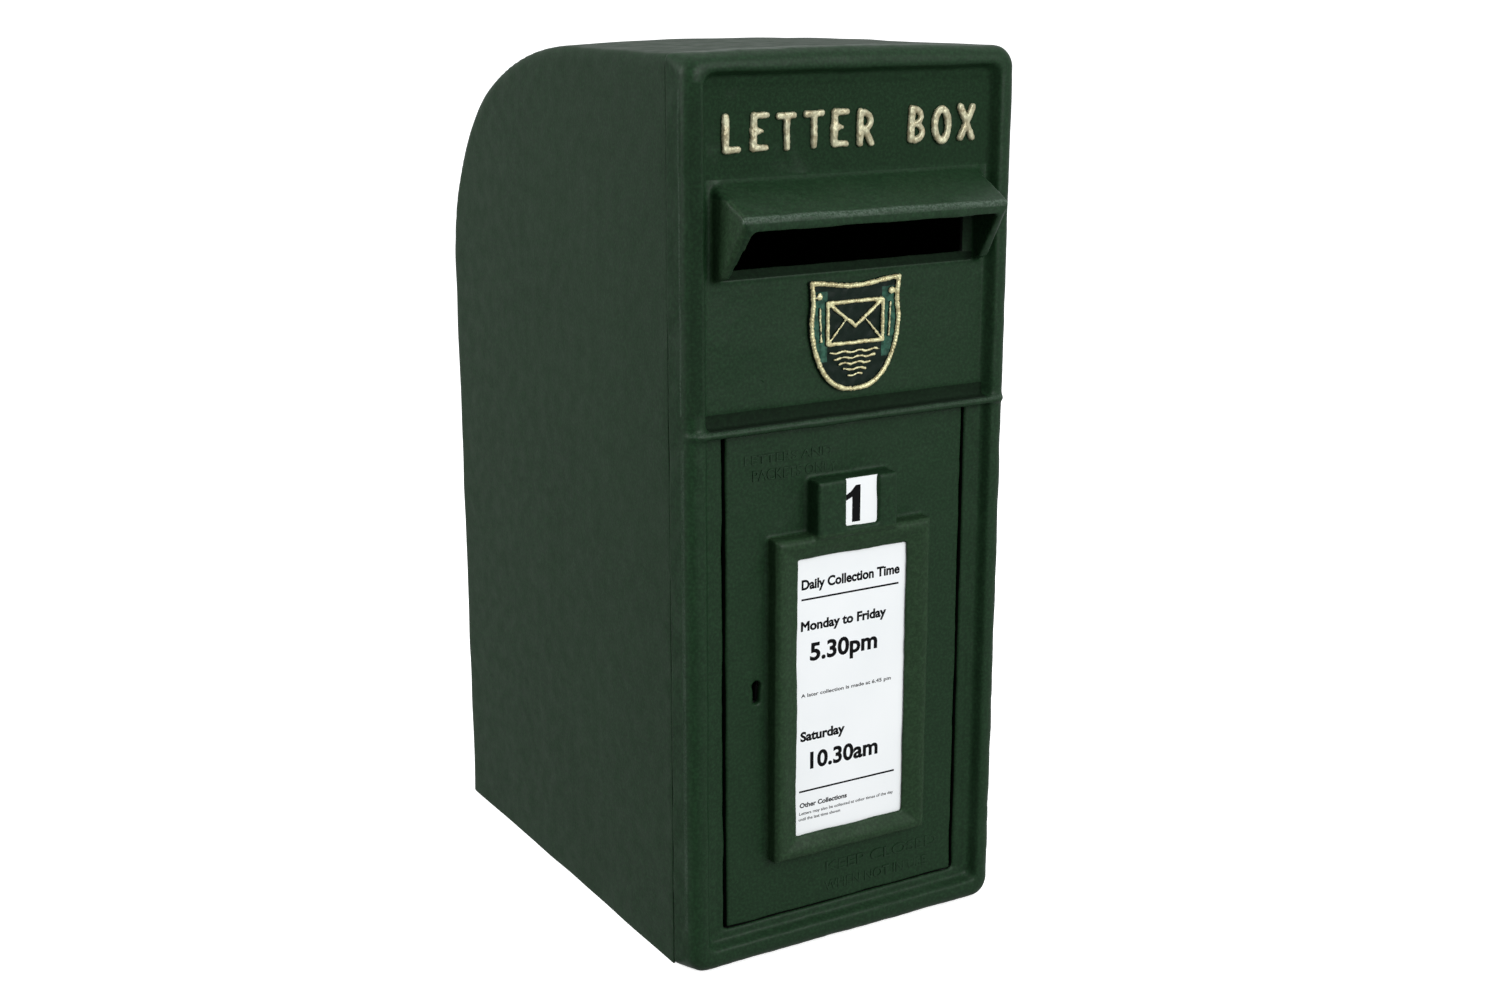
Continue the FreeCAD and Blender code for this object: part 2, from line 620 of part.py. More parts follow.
def emblem_gilding():
    """A border with an envelope inside it and four fine lines below."""
    border = shield(0, GILD_FRONT, PANEL).cut(shield(EMBLEM_BORDER, GILD_FRONT - 1, PANEL + 1))
    border = border.cut(emblem_plaque())
    mid = EMBLEM_Z + 8.0
    left, right = EMBLEM_X - ENVELOPE_HALF, EMBLEM_X + ENVELOPE_HALF
    low, high = mid - ENVELOPE_UP, mid + ENVELOPE_UP
    frame = [(left, low), (right, low), (right, high), (left, high), (left, low)]
    flap = [(left, high), (EMBLEM_X, mid - 3.0), (right, high)]
    envelope = fuse_all(strokes(frame, GILD_R, GILD_FRONT, EMBLEM_GROUND)
                        + strokes(flap, GILD_R, GILD_FRONT, EMBLEM_GROUND))
    lines = []
    for count in range(4):
        z = low - 6.0 - 4.5 * count
        reach = 17.0 - 4.2 * count
        start, end = (EMBLEM_X - reach, z), (EMBLEM_X + reach, z)
        lines.append(stroke(start, end, FINE_LINE_R, GILD_FRONT, EMBLEM_GROUND))
    return [border, envelope] + lines


# ---------------------------------------------------------------- door

def door_moulding():
    """Raised border round the card window."""
    block_out = block(-MOULD_HALF, MOULD_HALF, MOULD_FRONT, DOOR_FRONT + 1, MOULD_Z[0], MOULD_Z[1])
    raised = block_out.makeChamfer(MOULD_EDGE, edges_at_depth(block_out, MOULD_FRONT))
    crest = (MOULD_HALF - CREST_INSET, MOULD_Z[0] + CREST_INSET, MOULD_Z[1] - CREST_INSET, MOULD_FRONT)
    return raised.cut(funnel(crest, (WINDOW_HALF, WINDOW_Z[0], WINDOW_Z[1], WINDOW_DEPTH)))


def number_tab():
    tab = block(-TAB_HALF, TAB_HALF, TAB_FRONT, DOOR_FRONT + 1, TAB_Z[0], TAB_Z[1])
    return tab.makeFillet(TAB_EDGE_R, edges_at_depth(tab, TAB_FRONT))


def number_channel():
    near, far = GROOVE_DEPTH
    top = TAB_Z[1] + 1
    channel = block(NUMBER_X - CHANNEL_HALF, NUMBER_X + CHANNEL_HALF, TAB_FRONT - 1, near,
                    CHANNEL_FOOT_Z, top)
    return channel.fuse(block(NUMBER_X - GROOVE_HALF, NUMBER_X + GROOVE_HALF, near, far,
                              CHANNEL_FOOT_Z, top))


def keyhole(d0, d1):
    """Round head with a tapering slot below it."""
    head = rod_y(KEY_X, KEY_HEAD_Z, KEY_HEAD_R, d0, d1)
    low, high = KEY_SLOT_HALF
    slot = extrude_back([(KEY_X - low, KEY_FOOT_Z), (KEY_X + low, KEY_FOOT_Z),
                         (KEY_X + high, KEY_HEAD_Z), (KEY_X - high, KEY_HEAD_Z)], d0, d1)
    return head.fuse(slot)


def lock_screw_places():
    return [(x, z) for x in (CASE_X[0] + EAR_SCREW, CASE_X[1] - EAR_SCREW)
            for z in (CASE_Z[0] - EAR_SCREW, CASE_Z[1] + EAR_SCREW)]


def backplate_screw_places():
    return [(side * BACKPLATE_SCREW_X, z) for side in (-1, 1) for z in BACKPLATE_SCREW_Z]


def knuckle(z0, z1):
    return rod_z(PIVOT_X, PIVOT_DEPTH, KNUCKLE_R, z0, z1)


def door():
    plate = block(-DOOR_HALF, DOOR_HALF, DOOR_FRONT, DOOR_BACK, DOOR_Z[0], DOOR_Z[1])
    plate = plate.makeFillet(DOOR_EDGE_R, edges_at_depth(plate, DOOR_FRONT))
    knuckles = fuse_all([knuckle(DOOR_Z[0], DOOR_Z[0] + KNUCKLE_LONG),
                         knuckle(DOOR_Z[1] - KNUCKLE_LONG, DOOR_Z[1])])
    knuckles = knuckles.common(block(0, HALF, DOOR_FRONT + 0.5, SEAM_DEPTH, 0, HEIGHT))
    leaf = fuse_all([plate, knuckles, door_moulding(), number_tab()])
    bore = PIN_R + PIN_CLEARANCE
    cuts = [block(-POCKET_HALF, POCKET_HALF, POCKET_DEPTH, DOOR_BACK + 1, POCKET_Z[0], POCKET_Z[1]),
            block(-WINDOW_HALF, WINDOW_HALF, MOULD_FRONT - 1, POCKET_DEPTH + 1, WINDOW_Z[0], WINDOW_Z[1]),
            number_channel(), keyhole(DOOR_FRONT - 1, DOOR_BACK + 1),
            rod_z(PIVOT_X, PIVOT_DEPTH, bore, DOOR_Z[0] - 1, DOOR_Z[0] + PIN_GRIP + 1),
            rod_z(PIVOT_X, PIVOT_DEPTH, bore, DOOR_Z[1] - PIN_GRIP - 1, DOOR_Z[1] + 1)]
    cuts += [rod_y(x, z, M4_R, DOOR_BACK - 3.5, DOOR_BACK + 1) for x, z in lock_screw_places()]
    cuts += [rod_y(x, z, M3_R, POCKET_DEPTH - 3.0, POCKET_DEPTH + 1) for x, z in backplate_screw_places()]
    return leaf.cut(cuts)


def hinge_pin(z0, z1):
    pin = rod_z(PIVOT_X, PIVOT_DEPTH, PIN_R, z0, z1)
    return pin.makeChamfer(0.5, [e for e in pin.Edges if len(e.Vertexes) == 1])


def hinge_washer():
    outer = rod_z(PIVOT_X, PIVOT_DEPTH, PIVOT_DEPTH - DOOR_FRONT - 0.1, OPENING_Z, DOOR_Z[0] - 0.1)
    return outer.cut(rod_z(PIVOT_X, PIVOT_DEPTH, PIN_R + PIN_CLEARANCE, 0, DOOR_Z[1]))


def times_card():
    half = POCKET_HALF - CARD_MARGIN
    low, high = POCKET_Z[0] + CARD_MARGIN, POCKET_Z[1] - CARD_MARGIN
    return block(-half, half, POCKET_DEPTH, POCKET_DEPTH + CARD, low, high).cut(card_screw_holes())


def card_screw_holes():
    return [rod_y(x, z, M3_R + FIT, POCKET_DEPTH - 1, DOOR_BACK) for x, z in backplate_screw_places()]


def card_backplate():
    front = POCKET_DEPTH + CARD
    half = POCKET_HALF - BACKPLATE_MARGIN
    low, high = POCKET_Z[0] + BACKPLATE_MARGIN, POCKET_Z[1] - BACKPLATE_MARGIN
    return block(-half, half, front, front + BACKPLATE, low, high).cut(card_screw_holes())


def number_card():
    wide, tall, thick = NUMBER_CARD
    left, middle = NUMBER_X - wide / 2, sum(GROOVE_DEPTH) / 2
    foot = CHANNEL_FOOT_Z + FIT
    return block(left, left + wide, middle - thick / 2, middle + thick / 2, foot, foot + tall)


# ---------------------------------------------------------------- lock

def lock_case():
    """An open tray with screw ears above and below."""
    tray = block(CASE_X[0], CASE_X[1], DOOR_BACK, CASE_BACK, CASE_Z[0], CASE_Z[1])
    hollow = block(CASE_X[0] + CASE_WALL, CASE_X[1] - CASE_WALL, DOOR_BACK + CASE_WALL, CASE_BACK + 1,
                   CASE_Z[0] + CASE_WALL, CASE_Z[1] - CASE_WALL)
    floor = DOOR_BACK + CASE_WALL
    ears = block(CASE_X[0], CASE_X[1], DOOR_BACK, floor, CASE_Z[0] - EAR, CASE_Z[1] + EAR)
    pillars = [rod_y(x, z, PILLAR_R, DOOR_BACK, CASE_BACK) for x, z in cap_screw_places()]
    case = fuse_all([tray.cut(hollow), ears] + pillars)
    window = block(CASE_X[0] - 1, CASE_X[0] + CASE_WALL + 1, BOLT_DEPTH[0] - FIT, BOLT_DEPTH[1] + FIT,
                   BOLT_Z[0] - FIT, BOLT_Z[1] + FIT)
    cuts = [window, keyhole(DOOR_BACK - 1, floor + 1)]
    cuts += [rod_y(x, z, M4_R + FREE, DOOR_BACK - 1, floor + 1) for x, z in lock_screw_places()]
    cuts += [rod_y(x, z, M3_R, CASE_BACK - 8, CASE_BACK + 1) for x, z in cap_screw_places()]
    return case.cut(cuts)


def cap_screw_places():
    z = CASE_Z[0] + CAP_SCREW_INSET
    return [(CASE_X[0] + CAP_SCREW_INSET, z), (CASE_X[1] - CAP_SCREW_INSET, z)]


def lock_cap():
    outside = CASE_BACK + CASE_WALL
    cap = block(CASE_X[0], CASE_X[1], CASE_BACK, outside, CASE_Z[0], CASE_Z[1])
    holes = [rod_y(x, z, M3_R + FREE, CASE_BACK - 1, outside + 1) for x, z in cap_screw_places()]
    holes.append(rod_y(KEY_X, KEY_HEAD_Z, POST_R, CASE_BACK - 1, outside + 1))
    holes.append(rod_y(STUMP_X, sum(BOLT_Z) / 2, STUMP_R, CASE_BACK - 1, outside + 1))
    return cap.cut(holes)


def lock_bolt():
    """A flat bar with a slot for the stump and a notch for the key."""
    bar = block(CASE_X[0], BOLT_TAIL_X, BOLT_DEPTH[0], BOLT_DEPTH[1], BOLT_Z[0], BOLT_Z[1])
    nose = [e for e in bar.Edges if all(abs(v.X - CASE_X[0]) < 0.01 for v in e.Vertexes)]
    bar = bar.makeChamfer(BOLT_NOSE, nose)
    mid_z = sum(BOLT_Z) / 2
    near, far = BOLT_DEPTH[0] - 1, BOLT_DEPTH[1] + 1
    slot = stroke((STUMP_X, mid_z), (STUMP_X + BOLT_THROW, mid_z), STUMP_R + FIT, near, far)
    wide, tall = KEY_NOTCH
    notch = block(KEY_X - wide, KEY_X + wide, near, far, BOLT_Z[0] - 1, BOLT_Z[0] + tall)
    return bar.cut([slot, notch])


def bolt_spring():
    """A bowed leaf between the case's roof and the bolt."""
    roof = CASE_Z[1] - CASE_WALL
    low = BOLT_Z[1] + FIT
    x0, x1 = CASE_X[0] + CASE_WALL + 2, BOLT_TAIL_X
    mid = (x0 + x1) / 2

    def p(x, z):
        return V(x, at(SPRING_DEPTH[0]), z)

    edges = [arc_between(p(x0, roof), p(mid, low + 2 * SPRING_HALF_THICK), p(x1, roof)),
             Part.makeLine(p(x1, roof), p(x1 + 1.0, roof)),
             arc_between(p(x1 + 1.0, roof), p(mid, low), p(x0 - 1.0, roof)),
             Part.makeLine(p(x0 - 1.0, roof), p(x0, roof))]
    return Part.Face(Part.Wire(edges)).extrude(V(0, SPRING_DEPTH[1] - SPRING_DEPTH[0], 0))


def bolt_stump():
    return rod_y(STUMP_X, sum(BOLT_Z) / 2, STUMP_R, DOOR_BACK + CASE_WALL, CASE_BACK + CASE_WALL)


def key_post():
    return rod_y(KEY_X, KEY_HEAD_Z, POST_R, DOOR_BACK + CASE_WALL, CASE_BACK + CASE_WALL)


# ---------------------------------------------------------------- fixings

def hex_screw(x, z, seat):
    """Screw driven forwards from inside the box, its head behind the seat."""
    r, tall = HEX_HEAD
    turns = [math.pi / 3 * k for k in range(6)]
    corners = [(x + r * math.cos(turn), z + r * math.sin(turn)) for turn in turns]
    shank = rod_y(x, z, M6_R - SCREW_ROOM, seat - HEX_SHANK, seat)
    return extrude_back(corners, seat, seat + tall).fuse(shank)


def pan_screw(x, z, seat, r, length):
    head = rod_y(x, z, 1.85 * r, seat, seat + 1.2 * r)
    head = head.makeFillet(0.5 * r, edges_at_depth(head, seat + 1.2 * r))
    shank = rod_y(x, z, r - SCREW_ROOM, seat - length, seat)
    slot = block(x - 2 * r, x + 2 * r, seat + 0.7 * r, seat + 2 * r, z - 0.25 * r, z + 0.25 * r)
    return head.fuse(shank).cut(slot)


def washer(x, z, seat):
    return rod_y(x, z, WASHER_R, seat, seat + WASHER).cut(rod_y(x, z, M6_R + FREE, seat - 1, seat + WASHER + 1))


def frame_washers():
    return [washer(x, z, SEAM_DEPTH + SHEET) for x, z in FRAME_SCREWS]


def frame_screws():
    return [hex_screw(x, z, SEAM_DEPTH + SHEET + WASHER) for x, z in FRAME_SCREWS]


def backplate_screws():
    seat = POCKET_DEPTH + CARD + BACKPLATE
    return [pan_screw(x, z, seat, M3_R, CARD + BACKPLATE + 2.6) for x, z in backplate_screw_places()]


def lock_screws():
    return [pan_screw(x, z, DOOR_BACK + CASE_WALL, M4_R, CASE_WALL + 3.2) for x, z in lock_screw_places()]


def lock_cap_screws():
    return [pan_screw(x, z, CASE_BACK + CASE_WALL, M3_R, CASE_WALL + 6.0) for x, z in cap_screw_places()]


def main():
    os.makedirs("parts", exist_ok=True)
    right = side_panel()
    save(right, "side_panel_right")
    save(mirrored(right), "side_panel_left")
    save(wrap_sheet(), "wrap_sheet")
    save(base_plate(), "base_plate")
    save(front_frame(), "front_frame")
    save(raised_lettering(), "raised_lettering")
    save(emblem_plaque(), "emblem_plaque")
    save(emblem_gilding(), "emblem_gilding")
    save(frame_screws(), "frame_screws")
    save(frame_washers(), "frame_washers")
    save(door(), "door")
    save(hinge_pin(DOOR_Z[1] - PIN_GRIP, LEDGE_Z[0] + LUG_TALL - 1), "hinge_pin_upper")
    save(hinge_pin(OPENING_Z - LUG_TALL, DOOR_Z[0] + PIN_GRIP), "hinge_pin_lower")
    save(hinge_washer(), "hinge_washer")
    save(times_card(), "times_card")
    save(card_backplate(), "card_backplate")
    save(backplate_screws(), "backplate_screws")
    save(number_card(), "number_card")
    save(lock_case(), "lock_case")
    save(lock_cap(), "lock_cap")
    save(lock_cap_screws(), "lock_cap_screws")
    save(lock_screws(), "lock_screws")
    save(lock_bolt(), "lock_bolt")
    save(bolt_spring(), "bolt_spring")
    save(bolt_stump(), "bolt_stump")
    save(key_post(), "key_post")


main()
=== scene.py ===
"""Looks of the wall letter box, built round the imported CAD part.

Metres, in the CAD frame: X to the right seen from the front, Y into the box,
Z up. Depths are counted from the front plane of the cast border, into the box.
"""

import math

import bmesh
import bpy
import numpy as np
from mathutils import Matrix, Vector


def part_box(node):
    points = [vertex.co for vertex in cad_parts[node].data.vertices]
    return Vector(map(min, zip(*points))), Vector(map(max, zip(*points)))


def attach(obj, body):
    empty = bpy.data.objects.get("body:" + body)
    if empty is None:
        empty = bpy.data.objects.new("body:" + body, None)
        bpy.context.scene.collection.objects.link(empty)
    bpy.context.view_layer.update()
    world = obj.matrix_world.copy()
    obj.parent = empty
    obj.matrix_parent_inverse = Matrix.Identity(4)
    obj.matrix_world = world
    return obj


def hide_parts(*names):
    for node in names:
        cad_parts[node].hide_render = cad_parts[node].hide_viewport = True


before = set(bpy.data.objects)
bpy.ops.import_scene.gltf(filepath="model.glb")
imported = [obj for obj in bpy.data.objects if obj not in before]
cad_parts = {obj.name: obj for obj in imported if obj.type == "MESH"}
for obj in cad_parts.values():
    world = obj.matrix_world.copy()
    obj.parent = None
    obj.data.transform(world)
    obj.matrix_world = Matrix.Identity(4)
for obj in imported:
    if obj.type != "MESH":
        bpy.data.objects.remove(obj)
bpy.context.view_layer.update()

MM = 0.001

# Camera, at the photograph's viewing angle
CAMERA_AT = (-0.67848, -1.18891, 0.63180)
CAMERA_YAW = 30.516       # degrees from +Y towards +X
CAMERA_PITCH = 14.975     # degrees below the horizon
CAMERA_LENS = 47.83
SENSOR_WIDE = 36.0
CAMERA_REACH = 300.0

# Studio
FLOOR_R = 120.0
AIM = (0.0, 0.0, 0.3)     # what the lamps point at
SKY = (0.40, 0.92)        # strength of the even light from below and from above
DARK_SIDE = (-0.64, -0.76, 0.10)      # towards the dark end of the studio, in front of the box
DARK_SPREAD = (0.45, 0.92)            # how closely a direction must face it to begin and to end fading
DARK_LEVEL = 0.30
# Each lamp's name, place, size and power in watts
LAMPS = (("left_light", (-2.2, 0.5, 1.2), (1.2, 1.2), 36),
         ("front_light", (0.3, -2.2, 1.15), (1.6, 1.2), 38),
         ("top_light", (0.2, -0.2, 2.4), (1.6, 1.2), 8))

# Places that follow from the CAD
HOOD_REACH = 26 * MM
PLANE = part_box("front_frame")[0].y + HOOD_REACH
PANEL = 8.0               # depth of the recessed panels, in millimetres
SHEET_LOW, SHEET_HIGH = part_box("wrap_sheet")
SHEET = 2 * MM

# Rear curve of the sheet body, as in the CAD
ROOF_FLAT_END = 155 * MM
ROOF_R = 270 * MM
ROOF_TURN = 0.47
CROWN = 2.5 * MM
CROWN_FADE = 45 * MM
FOLD_R = 4.5 * MM         # roof to side
SEAM_R = 0.8 * MM         # sheet to casting
FLANGE = 15 * MM
BACK_HOLES_HALF = (80 * MM, 140 * MM)         # half the holes' spacing, across and up
BACK_HOLES_Z = 210 * MM
BACK_HOLE_R = 4.5 * MM

# Mesh fineness
CAST_VOXEL = 1.15 * MM
DOOR_VOXEL = 0.95 * MM
RELIEF_VOXEL = 0.45 * MM
SKIN_VOXEL = 3 * MM
CAST_FACES = 185000
DOOR_FACES = 150000
SKIN_FACES = 52000
WAVE_COUNT = 24


# ---------------------------------------------------------------- mesh helpers

def at(depth):
    """Y of the plane this many millimetres behind the border plane."""
    return PLANE + depth * MM


def new_object(name, mesh):
    made = bpy.data.objects.new(name, mesh)
    bpy.context.scene.collection.objects.link(made)
    return made


def from_bmesh(name, form):
    mesh = bpy.data.meshes.new(name)
    form.to_mesh(mesh)
    form.free()
    return new_object(name, mesh)


def baked(obj, kind, **settings):
    """Applies one modifier to the object's mesh."""
    modifier = obj.modifiers.new(kind, kind)
    for key, value in settings.items():
        setattr(modifier, key, value)
    view = bpy.context.evaluated_depsgraph_get()
    mesh = bpy.data.meshes.new_from_object(obj.evaluated_get(view))
    obj.modifiers.clear()
    old, obj.data = obj.data, mesh
    bpy.data.meshes.remove(old)
    return obj


def triangles(mesh):
    return sum(len(face.vertices) - 2 for face in mesh.polygons)


def thinned(obj, limit):
    count = triangles(obj.data)
    if count > limit:
        baked(obj, "DECIMATE", ratio=limit / count)
    return obj


def points_of(mesh):
    points = np.empty(len(mesh.vertices) * 3)
    mesh.vertices.foreach_get("co", points)
    return points.reshape(-1, 3)


def normals_of(mesh):
    normals = np.empty(len(mesh.vertices) * 3)
    mesh.vertex_normals.foreach_get("vector", normals)
    return normals.reshape(-1, 3)


def set_points(mesh, points):
    mesh.vertices.foreach_set("co", points.astype(np.float32).ravel())
    mesh.update()


def waves(points, wavelength, seed):
    """A smooth random field of about unit height, the same on every run."""
    rng = np.random.default_rng(seed)
    directions = rng.normal(size=(WAVE_COUNT, 3))
    directions /= np.linalg.norm(directions, axis=1)[:, None]
    lengths = wavelength * rng.uniform(0.7, 1.5, WAVE_COUNT)
    shifts = rng.uniform(0, 2 * math.pi, WAVE_COUNT)
    field = np.zeros(len(points))
    for direction, length, shift in zip(directions, lengths, shifts):
        field += np.sin(points @ direction * (2 * math.pi / length) + shift)
    return field * math.sqrt(2 / WAVE_COUNT)


def roughen(obj, layers):
    """Moves the surface in and out by (height, wavelength, seed) layers, in millimetres."""
    for height, wavelength, seed in layers:
        points = points_of(obj.data)
        field = waves(points, wavelength * MM, seed)
        set_points(obj.data, points + normals_of(obj.data) * (height * MM * field)[:, None])
    return obj


def shade_smooth(obj, angle=None):
    for face in obj.data.polygons:
        face.use_smooth = True
    if angle is not None:
        obj.data.set_sharp_from_angle(angle=math.radians(angle))
    return obj


def piece(obj, body, material, replaces=()):
    obj.data.materials.clear()
    obj.data.materials.append(material)
    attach(obj, body)
    if replaces:
        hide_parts(*replaces)
    return obj


def bar(form, low, high):
    """Adds a box to a bmesh."""
    corners = bmesh.ops.create_cube(form, size=1)["verts"]
    for vert in corners:
        vert.co = Vector(b if co > 0 else a for co, a, b in zip(vert.co, low, high))
    return corners


def prism(form, near, far):
    """Adds a closed prism between two matching rings of points."""
    front = [form.verts.new(spot) for spot in near]
    back = [form.verts.new(spot) for spot in far]
    form.faces.new(front)
    form.faces.new(back[::-1])
    for i, vert in enumerate(front):
        j = (i + 1) % len(front)
        form.faces.new([vert, back[i], back[j], front[j]])


def sliced(form, place, normal, clear=False):
    """Cuts every face along a plane, and clears what lies beyond it if asked."""
    everything = list(form.verts) + list(form.edges) + list(form.faces)
    bmesh.ops.bisect_plane(form, geom=everything, plane_co=place, plane_no=normal, clear_outer=clear)


# ---------------------------------------------------------------- materials

def wire(tree, kind, inputs=None, **settings):
    """Adds a node; inputs are values, or (node, output name) to link from."""
    made = tree.nodes.new(kind)
    for key, value in settings.items():
        setattr(made, key, value)
    for key, value in (inputs or {}).items():
        if isinstance(value, tuple) and isinstance(value[0], bpy.types.Node):
            tree.links.new(value[0].outputs[value[1]], made.inputs[key])
        else:
            made.inputs[key].default_value = value
    return made


def start_material(name):
    material = bpy.data.materials.new(name)
    material.use_nodes = True
    tree = material.node_tree
    shader = tree.nodes["Principled BSDF"]
    place = wire(tree, "ShaderNodeTexCoord")
    return material, tree, shader, (place, "Object")


def noise(tree, place, scale, detail=2.0, roughness=0.5):
    return wire(tree, "ShaderNodeTexNoise", {"Vector": place, "Scale": scale, "Detail": detail,
                                             "Roughness": roughness})


def ramp(tree, source, low, high, from_low, from_high):
    return wire(tree, "ShaderNodeMapRange", {"Value": source, "From Min": from_low, "From Max": from_high,
                                             "To Min": low, "To Max": high})


def mixed(tree, factor, a, b, blend="MIX"):
    made = wire(tree, "ShaderNodeMix", data_type="RGBA", blend_type=blend)
    for index, value in ((0, factor), (6, a), (7, b)):
        if isinstance(value, tuple) and isinstance(value[0], bpy.types.Node):
            tree.links.new(value[0].outputs[value[1]], made.inputs[index])
        else:
            made.inputs[index].default_value = value
    return made


def link(tree, source, shader, name):
    tree.links.new(source[0].outputs[source[1]], shader.inputs[name])


def bumps(tree, shader, layers):
    """Stacks bump layers given as (height source, distance in millimetres, strength)."""
    last = None
    for source, distance, strength in layers:
        inputs = {"Height": source, "Distance": distance * MM, "Strength": strength}
        if last is not None:
            inputs["Normal"] = (last, "Normal")
        last = wire(tree, "ShaderNodeBump", inputs)
    link(tree, (last, "Normal"), shader, "Normal")


def rgb(red, green, blue):
    return (red, green, blue, 1.0)


def within(tree, place, low, high, soft=0.4):
    """1 inside a box given in metres, falling to 0 over the last soft millimetres to its faces."""
    middle = tuple((a + b) / 2 for a, b in zip(low, high))
    half = tuple((b - a) / 2 for a, b in zip(low, high))
    offset = wire(tree, "ShaderNodeVectorMath", {0: place, 1: middle}, operation="SUBTRACT")
    spread = wire(tree, "ShaderNodeVectorMath", {0: (offset, "Vector")}, operation="ABSOLUTE")
    over = wire(tree, "ShaderNodeVectorMath", {0: (spread, "Vector"), 1: half}, operation="SUBTRACT")
    axes = wire(tree, "ShaderNodeSeparateXYZ", {"Vector": (over, "Vector")})
    level = wire(tree, "ShaderNodeMath", {0: (axes, "X"), 1: (axes, "Y")}, operation="MAXIMUM")
    widest = wire(tree, "ShaderNodeMath", {0: (level, "Value"), 1: (axes, "Z")}, operation="MAXIMUM")
    return ramp(tree, (widest, "Value"), 1.0, 0.0, -soft * MM, 0.0)


EDGE_WEAR_AND_HIGHLIGHT_GREEN = (0.030, 0.052, 0.034, 1.0)       # worn paint and painted highlight along exposed edges
# paler tint for painted light
PAINTED_LIGHT_TINT = (1.62, 1.28, 1.36, 1.0)
# pale flecks of painted highlight
HIGHLIGHT_FLECK_COLOUR = (0.110, 0.150, 0.120, 1.0)
UNLIT = (0.0008, 0.0016, 0.0010, 1.0)
# roughness inside the painted shade
PAINTED_SHADE_ROUGH = 0.85


def times(colour, factor):
    """A colour made lighter or darker, still opaque."""
    return tuple(factor * c for c in colour[:3]) + (1.0,)


def green_paint(name, colour, grain, lump, rough, level, unlit=(), painted_light=(), painted_shade=(), painted_highlight=()):
    """Dark green paint over iron or sheet.

    Inside the boxes given it is black where unlit and paler where light is painted.
    Boxes of painted shade are darker and duller and keep a share of the colour, and
    boxes of painted highlight have an amount of pale flecks; both say how many millimetres their edges fade
    over.
    """
    material, tree, shader, place = start_material(name)
    cloud = noise(tree, place, 9, 3.0)
    speck = noise(tree, place, 520, 3.0, 0.6)
    fleck = ramp(tree, (noise(tree, place, 800, 2.0, 0.6), "Fac"), 0.25, 1.0, 0.42, 0.60)
    peel = noise(tree, place, 1000 / grain, 2.0, 0.55)
    swell = noise(tree, place, 1000 / lump, 2.0, 0.5)
    clouded = ramp(tree, (cloud, "Fac"), 0.0, 1.0, 0.35, 0.65)
    tone = mixed(tree, (clouded, "Result"), times(colour, 0.95), times(colour, 1.05))
    specked = ramp(tree, (speck, "Fac"), 0.0, 0.7, 0.42, 0.68)
    dusty = mixed(tree, (specked, "Result"), (tone, "Result"), times(colour, 1.9))
    edges = wire(tree, "ShaderNodeNewGeometry")
    # Convex edges are painted a lighter green: worn paint and a painted highlight
    edge_wear_and_highlight = ramp(tree, (edges, "Pointiness"), 0.0, 0.26, 0.53, 0.62)
    cover = mixed(tree, (edge_wear_and_highlight, "Result"), (dusty, "Result"), EDGE_WEAR_AND_HIGHLIGHT_GREEN)
    # Painted light: these boxes are painted paler
    for low, high in painted_light:
        mask = within(tree, place, low, high)
        paler = mixed(tree, 1.0, (cover, "Result"), PAINTED_LIGHT_TINT, "MULTIPLY")
        cover = mixed(tree, (mask, "Result"), (cover, "Result"), (paler, "Result"))
    gloss = (ramp(tree, (swell, "Fac"), rough - 0.06, rough + 0.06, 0.3, 0.7), "Result")
    # Painted shade: these boxes are painted darker and duller
    for low, high, share, soft in painted_shade:
        mask = within(tree, place, low, high, soft)
        darker = mixed(tree, 1.0, (cover, "Result"), (share, share, share, 1.0), "MULTIPLY")
        cover = mixed(tree, (mask, "Result"), (cover, "Result"), (darker, "Result"))
        dull = wire(tree, "ShaderNodeMath", {0: (mask, "Result"), 1: PAINTED_SHADE_ROUGH}, operation="MULTIPLY")
        gloss = (wire(tree, "ShaderNodeMath", {0: gloss, 1: (dull, "Value")}, operation="MAXIMUM"), "Value")
    # Painted highlight: pale flecks inside these boxes
    for low, high, amount, soft in painted_highlight:
        mask = within(tree, place, low, high, soft)
        highlight_flecks = wire(tree, "ShaderNodeMath", {0: (mask, "Result"), 1: (fleck, "Result")},
                    operation="MULTIPLY")
        thin = wire(tree, "ShaderNodeMath", {0: (highlight_flecks, "Value"), 1: amount}, operation="MULTIPLY")
        cover = mixed(tree, (thin, "Value"), (cover, "Result"), HIGHLIGHT_FLECK_COLOUR)
    for low, high in unlit:
        mask = within(tree, place, low, high)
        cover = mixed(tree, (mask, "Result"), (cover, "Result"), UNLIT)
        gloss = (wire(tree, "ShaderNodeMath", {0: gloss, 1: (mask, "Result")}, operation="MAXIMUM"), "Value")
    link(tree, (cover, "Result"), shader, "Base Color")
    link(tree, gloss, shader, "Roughness")
    shader.inputs["Specular IOR Level"].default_value = level
    bumps(tree, shader, [((swell, "Fac"), 0.20, 0.10), ((peel, "Fac"), 0.14, 0.40),
                         ((speck, "Fac"), 0.08, 0.50)])
    return material


